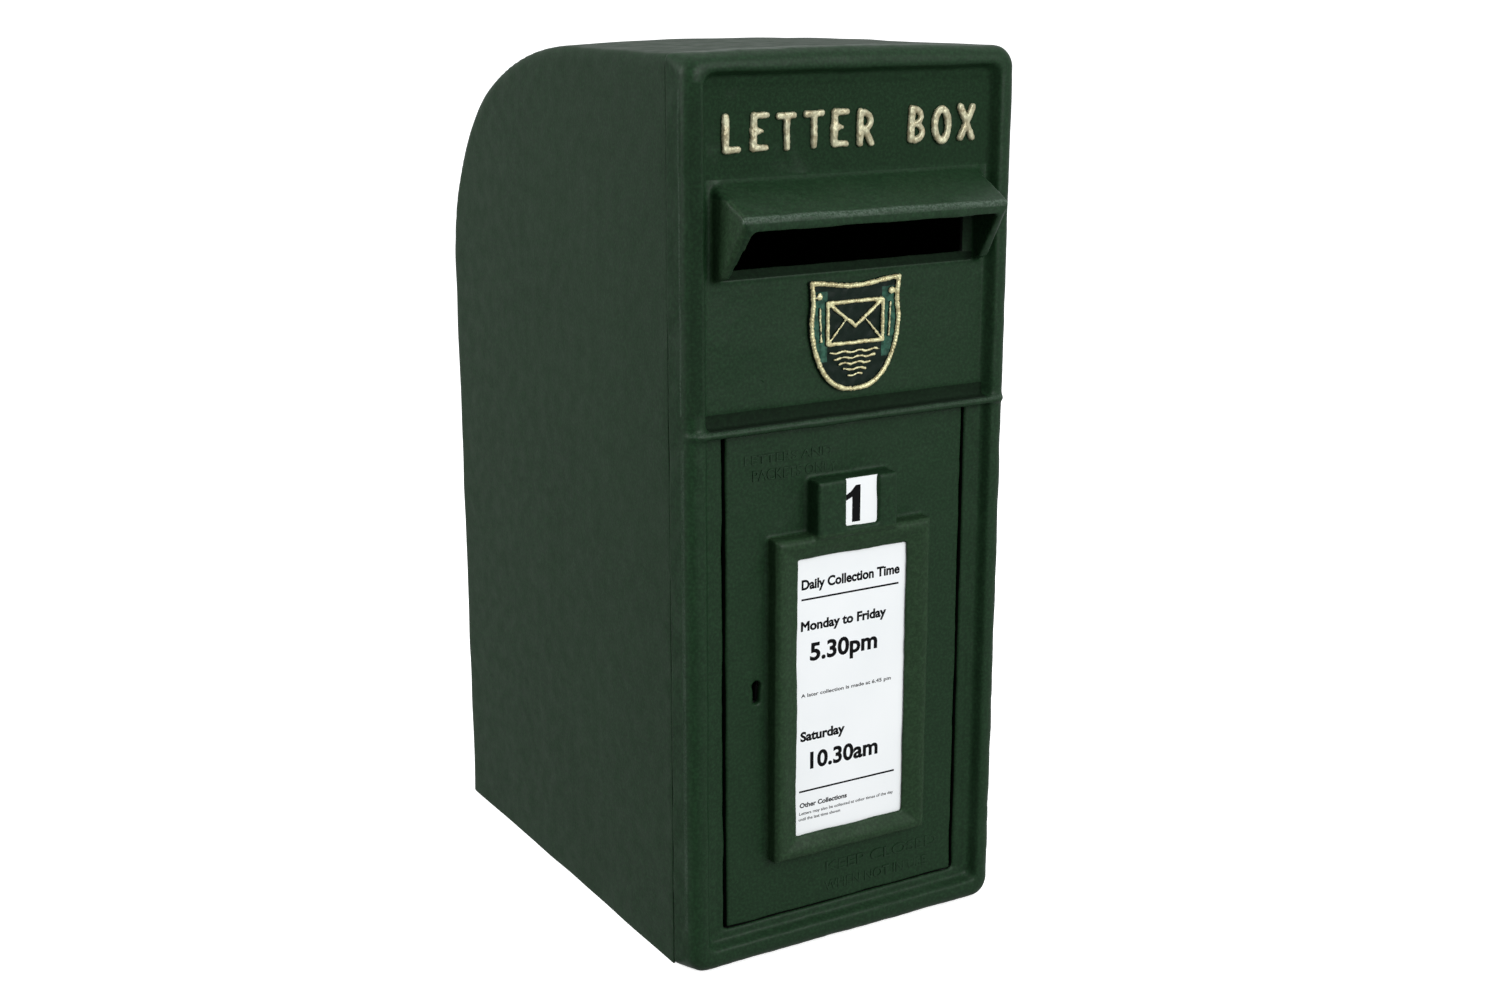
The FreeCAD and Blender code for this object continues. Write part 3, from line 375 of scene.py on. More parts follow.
def gilt_material(name, gold, under, edge_depth, uneven, rough=0.38):
    """Gold paint on the raised part and the casting's green below edge_depth."""
    material, tree, shader, place = start_material(name)
    split = wire(tree, "ShaderNodeSeparateXYZ", {"Vector": place})
    ragged = noise(tree, place, 900, 3.0)
    offset = ramp(tree, (ragged, "Fac"), -uneven * MM, uneven * MM, 0.3, 0.7)
    height = wire(tree, "ShaderNodeMath", {0: (split, "Y"), 1: (offset, "Result")}, operation="ADD")
    edge = at(edge_depth)
    mask = ramp(tree, (height, "Value"), 1.0, 0.0, edge - 0.12 * MM, edge + 0.12 * MM)
    patch = noise(tree, place, 260, 4.0, 0.6)
    darker = (gold[0] * 0.62, gold[1] * 0.56, gold[2] * 0.50, 1.0)
    tone = mixed(tree, (ramp(tree, (patch, "Fac"), 0.0, 1.0, 0.36, 0.60), "Result"), darker, gold)
    cover = mixed(tree, (mask, "Result"), under, (tone, "Result"))
    link(tree, (cover, "Result"), shader, "Base Color")
    metal = ramp(tree, (mask, "Result"), 0.0, 0.35, 0.0, 1.0)
    link(tree, (metal, "Result"), shader, "Metallic")
    gloss = ramp(tree, (patch, "Fac"), rough - 0.08, rough + 0.12, 0.3, 0.7)
    link(tree, (gloss, "Result"), shader, "Roughness")
    bumps(tree, shader, [((ragged, "Fac"), 0.12, 0.6), ((patch, "Fac"), 0.25, 0.5)])
    return material


def enamel_material(name, colour, field, columns):
    """Near-black field with glossy infill paint inside the given boxes."""
    material, tree, shader, place = start_material(name)
    patch = noise(tree, place, 300, 3.0, 0.6)
    pools = ramp(tree, (patch, "Fac"), 0.0, 1.0, 0.40, 0.60)
    pooled = mixed(tree, (pools, "Result"), times(colour, 0.45), colour)
    tone = mixed(tree, (patch, "Fac"), field, times(field, 1.8))
    for low, high in columns:
        mask = within(tree, place, low, high)
        tone = mixed(tree, (mask, "Result"), (tone, "Result"), (pooled, "Result"))
    link(tree, (tone, "Result"), shader, "Base Color")
    gloss = ramp(tree, (patch, "Fac"), 0.30, 0.50, 0.3, 0.7)
    link(tree, (gloss, "Result"), shader, "Roughness")
    shader.inputs["Specular IOR Level"].default_value = 0.14
    bumps(tree, shader, [((patch, "Fac"), 0.2, 0.5)])
    return material


def card_material():
    material, tree, shader, place = start_material("card_white")
    fibre = noise(tree, place, 2500, 3.0)
    haze = noise(tree, place, 20, 2.0)
    tone = mixed(tree, (ramp(tree, (haze, "Fac"), 0.0, 1.0, 0.3, 0.7), "Result"),
                 rgb(0.825, 0.855, 0.865), rgb(0.865, 0.89, 0.90))
    link(tree, (tone, "Result"), shader, "Base Color")
    gloss = ramp(tree, (fibre, "Fac"), 0.35, 0.5, 0.3, 0.7)
    link(tree, (gloss, "Result"), shader, "Roughness")
    bumps(tree, shader, [((fibre, "Fac"), 0.02, 0.3)])
    return material


def ink_material():
    material, tree, shader, place = start_material("ink_black")
    fleck = noise(tree, place, 1800, 2.0)
    tone = mixed(tree, (fleck, "Fac"), rgb(0.003, 0.003, 0.0035), rgb(0.008, 0.008, 0.009))
    link(tree, (tone, "Result"), shader, "Base Color")
    gloss = ramp(tree, (fleck, "Fac"), 0.62, 0.78, 0.3, 0.7)
    link(tree, (gloss, "Result"), shader, "Roughness")
    shader.inputs["Specular IOR Level"].default_value = 0.05
    bumps(tree, shader, [((fleck, "Fac"), 0.01, 0.2)])
    return material


def metal_material(name, colour, dull, rough, streak=(1.0, 1.0, 1.0)):
    """Plated or turned metal with fine streaks and a few dull patches."""
    material, tree, shader, place = start_material(name)
    stretched = wire(tree, "ShaderNodeMapping", {"Vector": place, "Scale": streak})
    lines = noise(tree, (stretched, "Vector"), 900, 3.0, 0.6)
    patch = noise(tree, place, 120, 3.0)
    tone = mixed(tree, (ramp(tree, (patch, "Fac"), 0.0, 1.0, 0.35, 0.7), "Result"), colour, dull)
    link(tree, (tone, "Result"), shader, "Base Color")
    gloss = ramp(tree, (lines, "Fac"), rough - 0.08, rough + 0.12, 0.3, 0.7)
    link(tree, (gloss, "Result"), shader, "Roughness")
    shader.inputs["Metallic"].default_value = 1.0
    bumps(tree, shader, [((lines, "Fac"), 0.02, 0.4)])
    return material


def lacquer_material():
    material, tree, shader, place = start_material("lacquer_black")
    peel = noise(tree, place, 500, 2.0)
    tone = mixed(tree, (peel, "Fac"), rgb(0.010, 0.010, 0.011), rgb(0.028, 0.028, 0.030))
    link(tree, (tone, "Result"), shader, "Base Color")
    gloss = ramp(tree, (peel, "Fac"), 0.28, 0.42, 0.3, 0.7)
    link(tree, (gloss, "Result"), shader, "Roughness")
    bumps(tree, shader, [((peel, "Fac"), 0.08, 0.4)])
    return material


def floor_material():
    material, tree, shader, place = start_material("floor_pale")
    cloud = noise(tree, place, 3, 2.0)
    tone = mixed(tree, (cloud, "Fac"), rgb(0.86, 0.865, 0.87), rgb(0.90, 0.905, 0.90))
    link(tree, (tone, "Result"), shader, "Base Color")
    shader.inputs["Roughness"].default_value = 0.8
    shader.inputs["Specular IOR Level"].default_value = 0.1
    shader.inputs["Emission Color"].default_value = (1.0, 1.0, 1.0, 1.0)
    shader.inputs["Emission Strength"].default_value = 0.62
    return material


def zone(left, right, near, far, low, high):
    """Corners of a box, from millimetres across, in depth and up."""
    return (left * MM, at(near), low * MM), (right * MM, at(far), high * MM)


EMBLEM_LOW, EMBLEM_HIGH = (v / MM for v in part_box("emblem_gilding"))
EMBLEM_X = (EMBLEM_LOW.x + EMBLEM_HIGH.x) / 2
EMBLEM_HALF = (EMBLEM_HIGH.x - EMBLEM_LOW.x) / 2
EMBLEM_TOP, EMBLEM_FOOT = EMBLEM_HIGH.z, EMBLEM_LOW.z

# No light reaches into the slot and the hood, the jambs, or between door and casting
SLOT_INSIDE = (zone(-86.8, 86.8, -21.5, -7.5, 451.2, 492.5),
               zone(-86.8, 86.8, -8.0, 2.5, 451.2, 499.5),
               zone(-94.5, 88.5, 2.0, 14.0, 455.2, 499.5))
JAMBS = zone(-94.5, 94.5, 9.0, 12.7, 22.5, 356.0)
DOOR_EDGES = (zone(-90.5, -88.5, 9.0, 12.7, 0, 400), zone(88.5, 90.5, 9.0, 12.7, 0, 400))

# Painted shade lies over the ledge and on the slot's sill, and thinly on the casting's left side, its left
# border and behind the words; then come the share of colour kept and the softness
PAINTED_SHADE_BOXES = ((*zone(-104.0, 104.0, -0.8, 10.5, 359.6, 369.0), 0.46, 0.4),
         (*zone(-94.5, 94.5, 7.0, 14.0, 450.0, 455.6), 0.46, 0.4),
         (*zone(-121.5, -118.6, -2.0, 40.0, -10.0, 600.0), 0.80, 1.5),
         *((*zone(-120.0, -106.0, -30.0, 30.0, 368.0, top), 0.92, 4.0) for top in (557, 564, 571)),
         (*zone(-106.5, 106.5, 5.5, 9.0, 510.0, 572.0), 0.86, 0.8))

# Pale flecks painted as highlight lie on the hood's lip, its right end and right edge, the ledge, and along
# the casting's parting line at the left; then come the amount of the flecks and the softness
PAINTED_HIGHLIGHTS = ((*zone(-96.5, 96.5, -26.5, -23.2, 487.5, 493.0), 0.55, 1.2),
          (*zone(55.0, 115.0, -28.0, -17.0, 480.0, 510.0), 0.32, 14.0),
          (*zone(94.6, 100.0, -27.0, -12.0, 486.0, 499.5), 0.80, 0.4),
          (*zone(95.2, 100.0, -12.5, 2.0, 497.0, 507.5), 0.80, 0.4),
          (*zone(-121.0, 121.0, -3.0, 2.0, 358.0, 361.2), 0.22, 1.2),
          (*zone(-120.6, -119.2, 7.4, 9.8, 370.0, 564.0), 0.42, 1.2),
          (*zone(-120.6, -116.0, 5.6, 9.8, 30.0, 350.0), 0.22, 1.2))

# The hood's left cheek and the moulding round the card are painted paler, as painted light
PAINTED_LIGHT_CHEEK = zone(-101.0, -93.5, -25.5, 7.6, 448.0, 500.0)
PAINTED_LIGHT_MOULDING = zone(-60.0, 60.0, -10.0, 7.4, 66.0, 286.5)

COLUMN_X, COLUMN_HALF = 26.5, 6.4     # from the emblem's middle
EMBLEM_COLUMNS = [zone(middle - COLUMN_HALF, middle + COLUMN_HALF, -2, 9, 394.0, 438.5)
                  for middle in (EMBLEM_X - COLUMN_X, EMBLEM_X + COLUMN_X)]

CASTING_GREEN = rgb(0.0078, 0.0245, 0.0098)
SHEET_GREEN = rgb(0.0064, 0.0200, 0.0078)
PAINT = {
    "casting": green_paint("paint_casting", CASTING_GREEN, 1.9, 7.5, 0.44, 0.15, (*SLOT_INSIDE, JAMBS),
                           (PAINTED_LIGHT_CHEEK,), PAINTED_SHADE_BOXES, PAINTED_HIGHLIGHTS),
    "door": green_paint("paint_door", CASTING_GREEN, 1.7, 8.5, 0.46, 0.15, DOOR_EDGES, (PAINTED_LIGHT_MOULDING,)),
    "sheet": green_paint("paint_sheet", SHEET_GREEN, 1.3, 12.0, 0.52, 0.12),
    "letters": gilt_material("gold_letters", rgb(0.50, 0.49, 0.33), CASTING_GREEN, PANEL - 0.9, 0.45),
    "gilding": gilt_material("gold_emblem", rgb(0.74, 0.72, 0.42), rgb(0.004, 0.010, 0.007),
                             PANEL - 2.8, 0.30),
    "enamel": enamel_material("teal_infill", rgb(0.034, 0.112, 0.076), rgb(0.0026, 0.0080, 0.0050),
                              EMBLEM_COLUMNS),
    "card": card_material(),
    "ink": ink_material(),
    "zinc": metal_material("zinc", rgb(0.60, 0.61, 0.61), rgb(0.42, 0.43, 0.44), 0.36),
    "steel": metal_material("steel", rgb(0.46, 0.46, 0.47), rgb(0.30, 0.28, 0.26), 0.34, (1.0, 1.0, 0.15)),
    "dark_steel": metal_material("dark_steel", rgb(0.035, 0.036, 0.035), rgb(0.015, 0.018, 0.015), 0.55),
    "brass": metal_material("brass", rgb(0.70, 0.50, 0.20), rgb(0.48, 0.34, 0.15), 0.30, (0.15, 1.0, 1.0)),
    "lacquer": lacquer_material(),
}


# ---------------------------------------------------------------- castings

def copy_of(node):
    """The CAD node's shape as a clean bmesh."""
    form = bmesh.new()
    form.from_mesh(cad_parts[node].data)
    bmesh.ops.remove_doubles(form, verts=form.verts, dist=1e-6)
    return form


def soft_casting(name, form, voxel, limit, seed):
    """A sand casting: soft edges, faces that are a little uneven."""
    obj = from_bmesh(name, form)
    baked(obj, "REMESH", mode="VOXEL", voxel_size=voxel)
    baked(obj, "SMOOTH", factor=0.5, iterations=7)
    roughen(obj, [(0.15, 34, seed), (0.05, 13, seed + 1), (0.03, 5, seed + 2)])
    thinned(obj, limit)
    return shade_smooth(obj)


HOOD_ROOT_Z = 510.0       # where the hood's roof meets the panel
HOOD_ROOT_HALF = 96.5
SEAM_RISE = 0.9           # of the casting's seam there


def front_casting():
    """The cast front, with a low seam along the root of the hood's roof."""
    form = copy_of("front_frame")
    half, root = HOOD_ROOT_HALF * MM, HOOD_ROOT_Z * MM
    bar(form, (-half, at(PANEL - SEAM_RISE), root - 1.2 * MM), (half, at(PANEL + 1), root + 0.4 * MM))
    obj = soft_casting("front_casting", form, CAST_VOXEL, CAST_FACES, 11)
    return piece(obj, "cabinet", PAINT["casting"], ["front_frame"])


def door_casting():
    obj = soft_casting("door_casting", copy_of("door"), DOOR_VOXEL, DOOR_FACES, 23)
    return piece(obj, "door", PAINT["door"], ["door"])


# ---------------------------------------------------------------- sheet body

def side_outline():
    """(y, z) points of the body's side view, running past its seam and foot."""
    sine, cosine = math.sin(ROOF_TURN), math.cos(ROOF_TURN)
    depth = SHEET_HIGH.y - PLANE
    second_r = (depth - ROOF_FLAT_END - ROOF_R * sine) / (1 - sine)
    top = SHEET_HIGH.z
    first = (PLANE + ROOF_FLAT_END, top - ROOF_R)
    step = ROOF_R - second_r
    second = (first[0] + step * sine, first[1] + step * cosine)
    over = 12 * MM
    points = [(SHEET_LOW.y - over, -over), (SHEET_LOW.y - over, top)]
    for centre, r, start, end in ((first, ROOF_R, 0, ROOF_TURN), (second, second_r, ROOF_TURN, math.pi / 2)):
        for turn in np.linspace(start, end, 16):
            points.append((centre[0] + r * math.sin(turn), centre[1] + r * math.cos(turn)))
    points.append((SHEET_HIGH.y, -over))
    return points


def body_block():
    form = bmesh.new()
    half = SHEET_HIGH.x
    prism(form, [(-half, y, z) for y, z in side_outline()], [(half, y, z) for y, z in side_outline()])
    bmesh.ops.remove_doubles(form, verts=form.verts, dist=1e-6)
    bmesh.ops.recalc_face_normals(form, faces=form.faces)
    long_edges = [e for e in form.edges if abs(e.verts[0].co.x - e.verts[1].co.x) < 1e-6]
    bmesh.ops.bevel(form, geom=long_edges, offset=FOLD_R, segments=4, affect="EDGES", profile=0.5)
    return form


def crown(points):
    """Lets the roof fall gently to both sides, fading out below it."""
    fade = np.clip((points[:, 2] - (SHEET_HIGH.z - CROWN_FADE)) / CROWN_FADE, 0, 1)
    points[:, 2] -= CROWN * (points[:, 0] / SHEET_HIGH.x) ** 2 * fade ** 2 * (3 - 2 * fade)
    return points


def turn_in_at_seam(points):
    """Rolls the sheet's outer edge in where it meets the casting."""
    far = np.clip(SEAM_R - (points[:, 1] - SHEET_LOW.y), 0, SEAM_R)
    inset = SEAM_R - np.sqrt(SEAM_R ** 2 - far ** 2)
    outer = np.abs(points[:, 0]) > SHEET_HIGH.x - FOLD_R
    points[:, 0] -= np.sign(points[:, 0]) * inset * outer
    points[:, 2] -= inset * 0.4 * (points[:, 2] > SHEET_HIGH.z - FOLD_R - CROWN)
    return points


def inner_flanges(form):
    """The sheets' folded flanges behind the casting."""
    near, far = SHEET_LOW.y + 0.2 * MM, SHEET_LOW.y + SHEET
    half, top = SHEET_HIGH.x - SHEET, SHEET_HIGH.z - CROWN - SHEET
    gap = FLANGE + 3 * SHEET
    start = len(form.edges)
    for side in (-1, 1):
        x0, x1 = sorted((side * half, side * (half - FLANGE)))
        bar(form, (x0, near, gap), (x1, far, top - gap))
    bar(form, (-half + SHEET, near, top - FLANGE), (half - SHEET, far, top + CROWN / 2))
    form.edges.ensure_lookup_table()
    edges = form.edges[start:]
    bmesh.ops.bevel(form, geom=edges, offset=0.5 * MM, segments=2, affect="EDGES", profile=0.5)


def drilled(obj, places, r, low, high):
    """Cuts round holes along Y."""
    form = bmesh.new()
    for x, z in places:
        tool = bmesh.ops.create_cone(form, cap_ends=True, segments=32, radius1=r, radius2=r, depth=high - low)
        spin = Matrix.Rotation(math.pi / 2, 4, "X")
        shift = Matrix.Translation((x, (low + high) / 2, z))
        bmesh.ops.transform(form, matrix=shift @ spin, verts=tool["verts"])
    cutter = from_bmesh("hole_cutter", form)
    baked(obj, "BOOLEAN", operation="DIFFERENCE", object=cutter, solver="EXACT")
    bpy.data.objects.remove(cutter)
    return obj


def sheet_body():
    obj = from_bmesh("sheet_body", body_block())
    baked(obj, "REMESH", mode="VOXEL", voxel_size=SKIN_VOXEL)
    baked(obj, "SMOOTH", factor=0.5, iterations=2)
    set_points(obj.data, crown(points_of(obj.data)))
    roughen(obj, [(0.22, 150, 31), (0.10, 45, 32)])
    thinned(obj, SKIN_FACES)
    form = bmesh.new()
    form.from_mesh(obj.data)
    sliced(form, SHEET_LOW, (0, -1, 0), clear=True)
    sliced(form, (0, 0, 0), (0, 0, -1), clear=True)
    for step in (0.15, 0.4, 0.8):
        sliced(form, SHEET_LOW + Vector((0, step * MM, 0)), (0, 1, 0))
    form.to_mesh(obj.data)
    form.free()
    set_points(obj.data, turn_in_at_seam(points_of(obj.data)))
    baked(obj, "SOLIDIFY", thickness=SHEET, offset=-1, use_even_offset=True, use_rim=True)
    x, rise = BACK_HOLES_HALF
    places = [(sx * x, BACK_HOLES_Z + sz * rise) for sx in (-1, 1) for sz in (-1, 1)]
    drilled(obj, places, BACK_HOLE_R, SHEET_HIGH.y - 3 * SHEET, SHEET_HIGH.y + 3 * SHEET)
    form = bmesh.new()
    form.from_mesh(obj.data)
    inner_flanges(form)
    form.to_mesh(obj.data)
    form.free()
    shade_smooth(obj, 40)
    return piece(obj, "cabinet", PAINT["sheet"],
                 ["wrap_sheet", "side_panel_left", "side_panel_right"])


# ---------------------------------------------------------------- relief

def raised(outline, depth):
    """(x, z) points in millimetres as places at this depth."""
    return [(x * MM, at(depth), z * MM) for x, z in outline]


def line(*corners):
    """A path of straight runs, as a dense list of (x, z) points."""
    spots = []
    for (x0, z0), (x1, z1) in zip(corners, corners[1:]):
        count = max(2, int(math.hypot(x1 - x0, z1 - z0) / 0.5))
        spots += [(x0 + (x1 - x0) * t, z0 + (z1 - z0) * t) for t in np.linspace(0, 1, count)]
    return spots


def bend(cx, cz, rx, rz, start, end):
    """An elliptical arc; angles in degrees, from +x towards +z."""
    count = max(8, int(abs(math.radians(end - start)) * max(rx, rz) / 0.5))
    return [(cx + rx * math.cos(a), cz + rz * math.sin(a))
            for a in np.radians(np.linspace(start, end, count))]


def beads(form, path, thick, depth, tall, crest=1.0):
    """Flattened balls along a path, cut off level at this part of their height.

    thick is a radius, or a pair for both ends.
    """
    first, last = thick if isinstance(thick, tuple) else (thick, thick)
    for t, (x, z) in zip(np.linspace(0, 1, len(path)), path):
        r = first + (last - first) * t
        ball = bmesh.ops.create_icosphere(form, subdivisions=2, radius=1)["verts"]
        for vert in ball:
            co = vert.co
            vert.co = ((x + co.x * r) * MM, at(depth) + max(co.y, -crest) * tall * MM, (z + co.z * r) * MM)


def relief(name, form, layers, limit):
    obj = from_bmesh(name, form)
    baked(obj, "REMESH", mode="VOXEL", voxel_size=RELIEF_VOXEL)
    baked(obj, "SMOOTH", factor=0.5, iterations=2)
    roughen(obj, layers)
    thinned(obj, limit)
    return shade_smooth(obj)


# Each letter is drawn in a box 12 wide and 24 tall, with strokes about 2.3 in radius
GLYPHS = {
    "L": [(line((2.4, 21.5), (2.2, 2.4)), (2.4, 2.2)), (line((2.2, 2.4), (10.4, 2.6)), (2.2, 2.0))],
    "E": [(line((2.6, 21.4), (2.3, 2.5)), 2.3), (line((2.6, 21.4), (10.4, 21.6)), (2.2, 1.8)),
          (line((2.4, 2.5), (10.2, 2.5)), (2.2, 1.9)), (line((2.5, 12.4), (7.2, 12.4)), (3.0, 1.1))],
    "T": [(line((1.6, 21.3), (11.6, 21.7)), (2.1, 2.0)), (line((6.6, 21.3), (6.5, 2.0)), (2.2, 2.0))],
    "R": [(line((2.7, 21.5), (2.4, 2.2)), (2.4, 2.2)), (bend(4.4, 16.2, 5.0, 5.1, 90, -90), (2.1, 1.9)),
          (line((5.6, 11.2), (10.3, 2.2)), (2.1, 2.1))],
    "B": [(line((2.7, 21.5), (2.4, 2.5)), 2.4), (bend(4.2, 16.9, 4.6, 4.6, 90, -90), (2.1, 1.7)),
          (bend(4.2, 7.4, 5.8, 4.9, 90, -90), (1.8, 2.2))],
    "O": [(bend(6.4, 12.0, 4.7, 9.6, 90, 450), 2.35)],
    "X": [(line((2.0, 21.6), (10.8, 2.2)), (2.3, 2.1)), (line((10.6, 21.6), (2.2, 2.2)), (2.2, 2.1))],
}
WORDS = "LETTER BOX"
WORDS_LEFT = -91.8
LETTER_STRETCH = 1.10
LETTER_WEIGHT = 1.13
LETTER_PITCH = 18.9
LETTER_FOOT = 525.0
LETTER_SHIFTS = (0.0, 0.5, -0.3, 0.2, 0.6, -0.2, 0.0, 0.4, -0.4, 0.3)


def lettering():
    form = bmesh.new()
    for place, (letter, shift) in enumerate(zip(WORDS, LETTER_SHIFTS)):
        left = WORDS_LEFT + place * LETTER_PITCH
        for path, thick in GLYPHS.get(letter, []):
            moved = [(left + LETTER_STRETCH * x + 0.03 * shift * z, LETTER_FOOT + shift + z) for x, z in path]
            ends = thick if isinstance(thick, tuple) else (thick, thick)
            beads(form, moved[::2], tuple(LETTER_WEIGHT * r for r in ends), PANEL, 4.0, 0.65)
    obj = relief("lettering", form, [(0.12, 9, 41), (0.07, 3, 42)], 90000)
    return piece(obj, "cabinet", PAINT["letters"], ["raised_lettering"])


SHIELD_SIDE = 24.0        # height of the shield's sides
SHIELD_DIP = 3.2          # of its top edge
SHIELD_BOW = 1.2          # of its sides
ENAMEL_RISE = 1.7         # of the shield's ground over the panel
ENVELOPE_HALF = (20.5, 13.0)
ENVELOPE_UP = 8.5         # of its middle over the shield's middle
RIVET_X = 26.8
ROD = ((26.2, 3), (25.2, 2))      # how far out and inside the envelope's height its two ends are
WAVY_LINES = 5
WAVY_DROP = (5.6, 3.7)    # of the first one under the envelope, and of each next one
WAVY_HALF = (18.5, 3.4)   # of the first one, and how much shorter each next one is


def shield_path(inset):
    """Closed outline of a shield with a dipping top and bowed sides."""
    half, top, foot = EMBLEM_HALF - inset, EMBLEM_TOP - inset, EMBLEM_FOOT + inset * 1.3
    shoulder = top - SHIELD_SIDE
    drop = foot - shoulder
    path = []
    for t in np.linspace(-1, 1, 60):
        path.append((t * half, top - SHIELD_DIP * math.cos(t * math.pi / 2) ** 2))
    for t in np.linspace(0, 1, 30):
        path.append((half - SHIELD_BOW * math.sin(t * math.pi), top + (shoulder - top) * t))
    for turn in np.linspace(0, 1, 60) * math.pi / 2:
        path.append((half * math.cos(turn) ** 0.8, shoulder + drop * math.sin(turn) ** 1.1))
    for turn in np.linspace(0, 1, 60) * math.pi / 2:
        path.append((-half * math.sin(turn) ** 0.8, shoulder + drop * math.cos(turn) ** 1.1))
    for t in np.linspace(0, 1, 30):
        path.append((-half + SHIELD_BOW * math.sin(t * math.pi), shoulder + (top - shoulder) * t))
    return [(EMBLEM_X + x, z) for x, z in path]


def emblem_ground():
    form = bmesh.new()
    outline = shield_path(1.2)
    prism(form, raised(outline, PANEL - ENAMEL_RISE), raised(outline, PANEL + 0.8))
    bmesh.ops.remove_doubles(form, verts=form.verts, dist=1e-7)
    bmesh.ops.recalc_face_normals(form, faces=form.faces)
    obj = relief("emblem_ground", form, [(0.12, 6, 51)], 30000)
    return piece(obj, "cabinet", PAINT["enamel"], ["emblem_plaque"])


def emblem_lines():
    form = bmesh.new()
    depth = PANEL - ENAMEL_RISE
    beads(form, shield_path(2.0)[::2], 1.9, depth, 2.6)
    mid = (EMBLEM_TOP + EMBLEM_FOOT) / 2 + ENVELOPE_UP
    wide, half = ENVELOPE_HALF
    left, right, low, high = EMBLEM_X - wide, EMBLEM_X + wide, mid - half, mid + half
    edge = line((left, low), (right, low), (right, high), (left, high), (left, low))
    beads(form, edge[::3], 1.55, depth, 2.3)
    beads(form, line((left, high), (EMBLEM_X, mid - 2.5), (right, high))[::3], 1.45, depth, 2.3)
    for side in (-1, 1):
        start, end = (EMBLEM_X + side * wide, low), (EMBLEM_X + side * 7.0, mid + 2.0)
        beads(form, line(start, end)[::2], (1.1, 0.8), depth, 1.8)
        rivet = EMBLEM_X + side * RIVET_X
        beads(form, line((rivet, high + 4.5), (rivet, high + 4.6)), 2.6, depth, 2.4)
        (top_x, below), (foot_x, above) = ROD
        rod = line((EMBLEM_X + side * top_x, high - below), (EMBLEM_X + side * foot_x, low + above))
        beads(form, rod[::2], 1.0, depth, 1.7)
    for count in range(WAVY_LINES):
        z = low - WAVY_DROP[0] - WAVY_DROP[1] * count
        reach = WAVY_HALF[0] - WAVY_HALF[1] * count
        wavy = [(EMBLEM_X + x, z + 0.5 * math.sin(x * 0.55)) for x in np.arange(-reach, reach, 0.8)]
        beads(form, wavy, 0.95, depth, 1.8)
    obj = relief("emblem_lines", form, [(0.10, 5, 61), (0.08, 2.2, 62)], 90000)
    return piece(obj, "cabinet", PAINT["gilding"], ["emblem_gilding"])


# ---------------------------------------------------------------- cards

CARD_FACE = (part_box("times_card")[0].y - PLANE) / MM
NUMBER_FACE = (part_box("number_card")[0].y - PLANE) / MM
INK = 0.02                # thickness of the printed ink


def flat_type(text, weight):
    """One line of type as a mesh of unit size, lying in its own XY plane."""
    curve = bpy.data.curves.new("type", "FONT")
    curve.body = text
    curve.size = 1.0
    curve.extrude = 0.01
    curve.bevel_depth = weight
    curve.bevel_resolution = 0
    curve.resolution_u = 4
    holder = new_object("type", curve)
    view = bpy.context.evaluated_depsgraph_get()
    mesh = bpy.data.meshes.new_from_object(holder.evaluated_get(view))
    bpy.data.objects.remove(holder)
    return mesh


def typed(text, left, right, foot, tall, weight, face, rise):
    """A line of type fitted between left and right, with capitals this tall, in millimetres."""
    capital = flat_type("H", weight)
    heights = points_of(capital)[:, 1]
    low, high = heights.min(), heights.max()
    bpy.data.meshes.remove(capital)
    mesh = flat_type(text, weight)
    points = points_of(mesh)
    start, end = points[:, 0].min(), points[:, 0].max()
    across = left + (points[:, 0] - start) * (right - left) / (end - start)
    up = foot + (points[:, 1] - low) * tall / (high - low)
    thick = points[:, 2] / np.abs(points[:, 2]).max()
    set_points(mesh, np.stack([across * MM, at(face - rise * (1 + thick / 2)), up * MM], axis=1))
    return mesh


def typeset(entries, face, rise=INK):
    """All these lines of type, standing on a face."""
    form = bmesh.new()
    for entry in entries:
        mesh = typed(*entry, face, rise)
        form.from_mesh(mesh)
        bpy.data.meshes.remove(mesh)
    return form


# Text, left, right, foot, height of the capitals, and weight of the strokes
CARD_LINES = (("Daily Collection Time", -37.9, 37.5, 249.6, 6.8, 0.040),
              ("Monday to Friday", -38.2, 27.5, 221.9, 6.7, 0.041),
              ("5.30pm", -31.2, 20.8, 201.0, 12.2, 0.032),
              ("A later collection is made at 6.45 pm", -37.7, 32.1, 177.0, 2.5, 0.020),
              ("Saturday", -38.0, -3.7, 146.6, 6.8, 0.041),
              ("10.30am", -30.4, 22.6, 126.6, 11.8, 0.032),
              ("Other Collections", -38.2, -1.4, 100.4, 3.4, 0.036),
              ("Letters may also be collected at other times of the day", -38.5, 35.7, 95.4, 2.1, 0.018),
              ("until the last time shown", -38.9, -6.6, 91.4, 2.1, 0.018))
CARD_RULES = ((-37.9, 36.8, 242.5), (-38.7, 36.1, 111.3))     # left, right and foot
RULE_TALL = 1.25


def times_print():
    form = typeset(CARD_LINES, CARD_FACE)
    for left, right, foot in CARD_RULES:
        bar(form, (left * MM, at(CARD_FACE - 1.5 * INK), foot * MM),
            (right * MM, at(CARD_FACE - 0.5 * INK), (foot + RULE_TALL) * MM))
    return piece(from_bmesh("times_print", form), "door", PAINT["ink"])


NUMBER_FOOT, NUMBER_TALL = 291.2, 24.0
NUMBER_STEM = (-3.6, 2.6)
FLAG_REACH = 5.4          # of the flag to the left of the stem


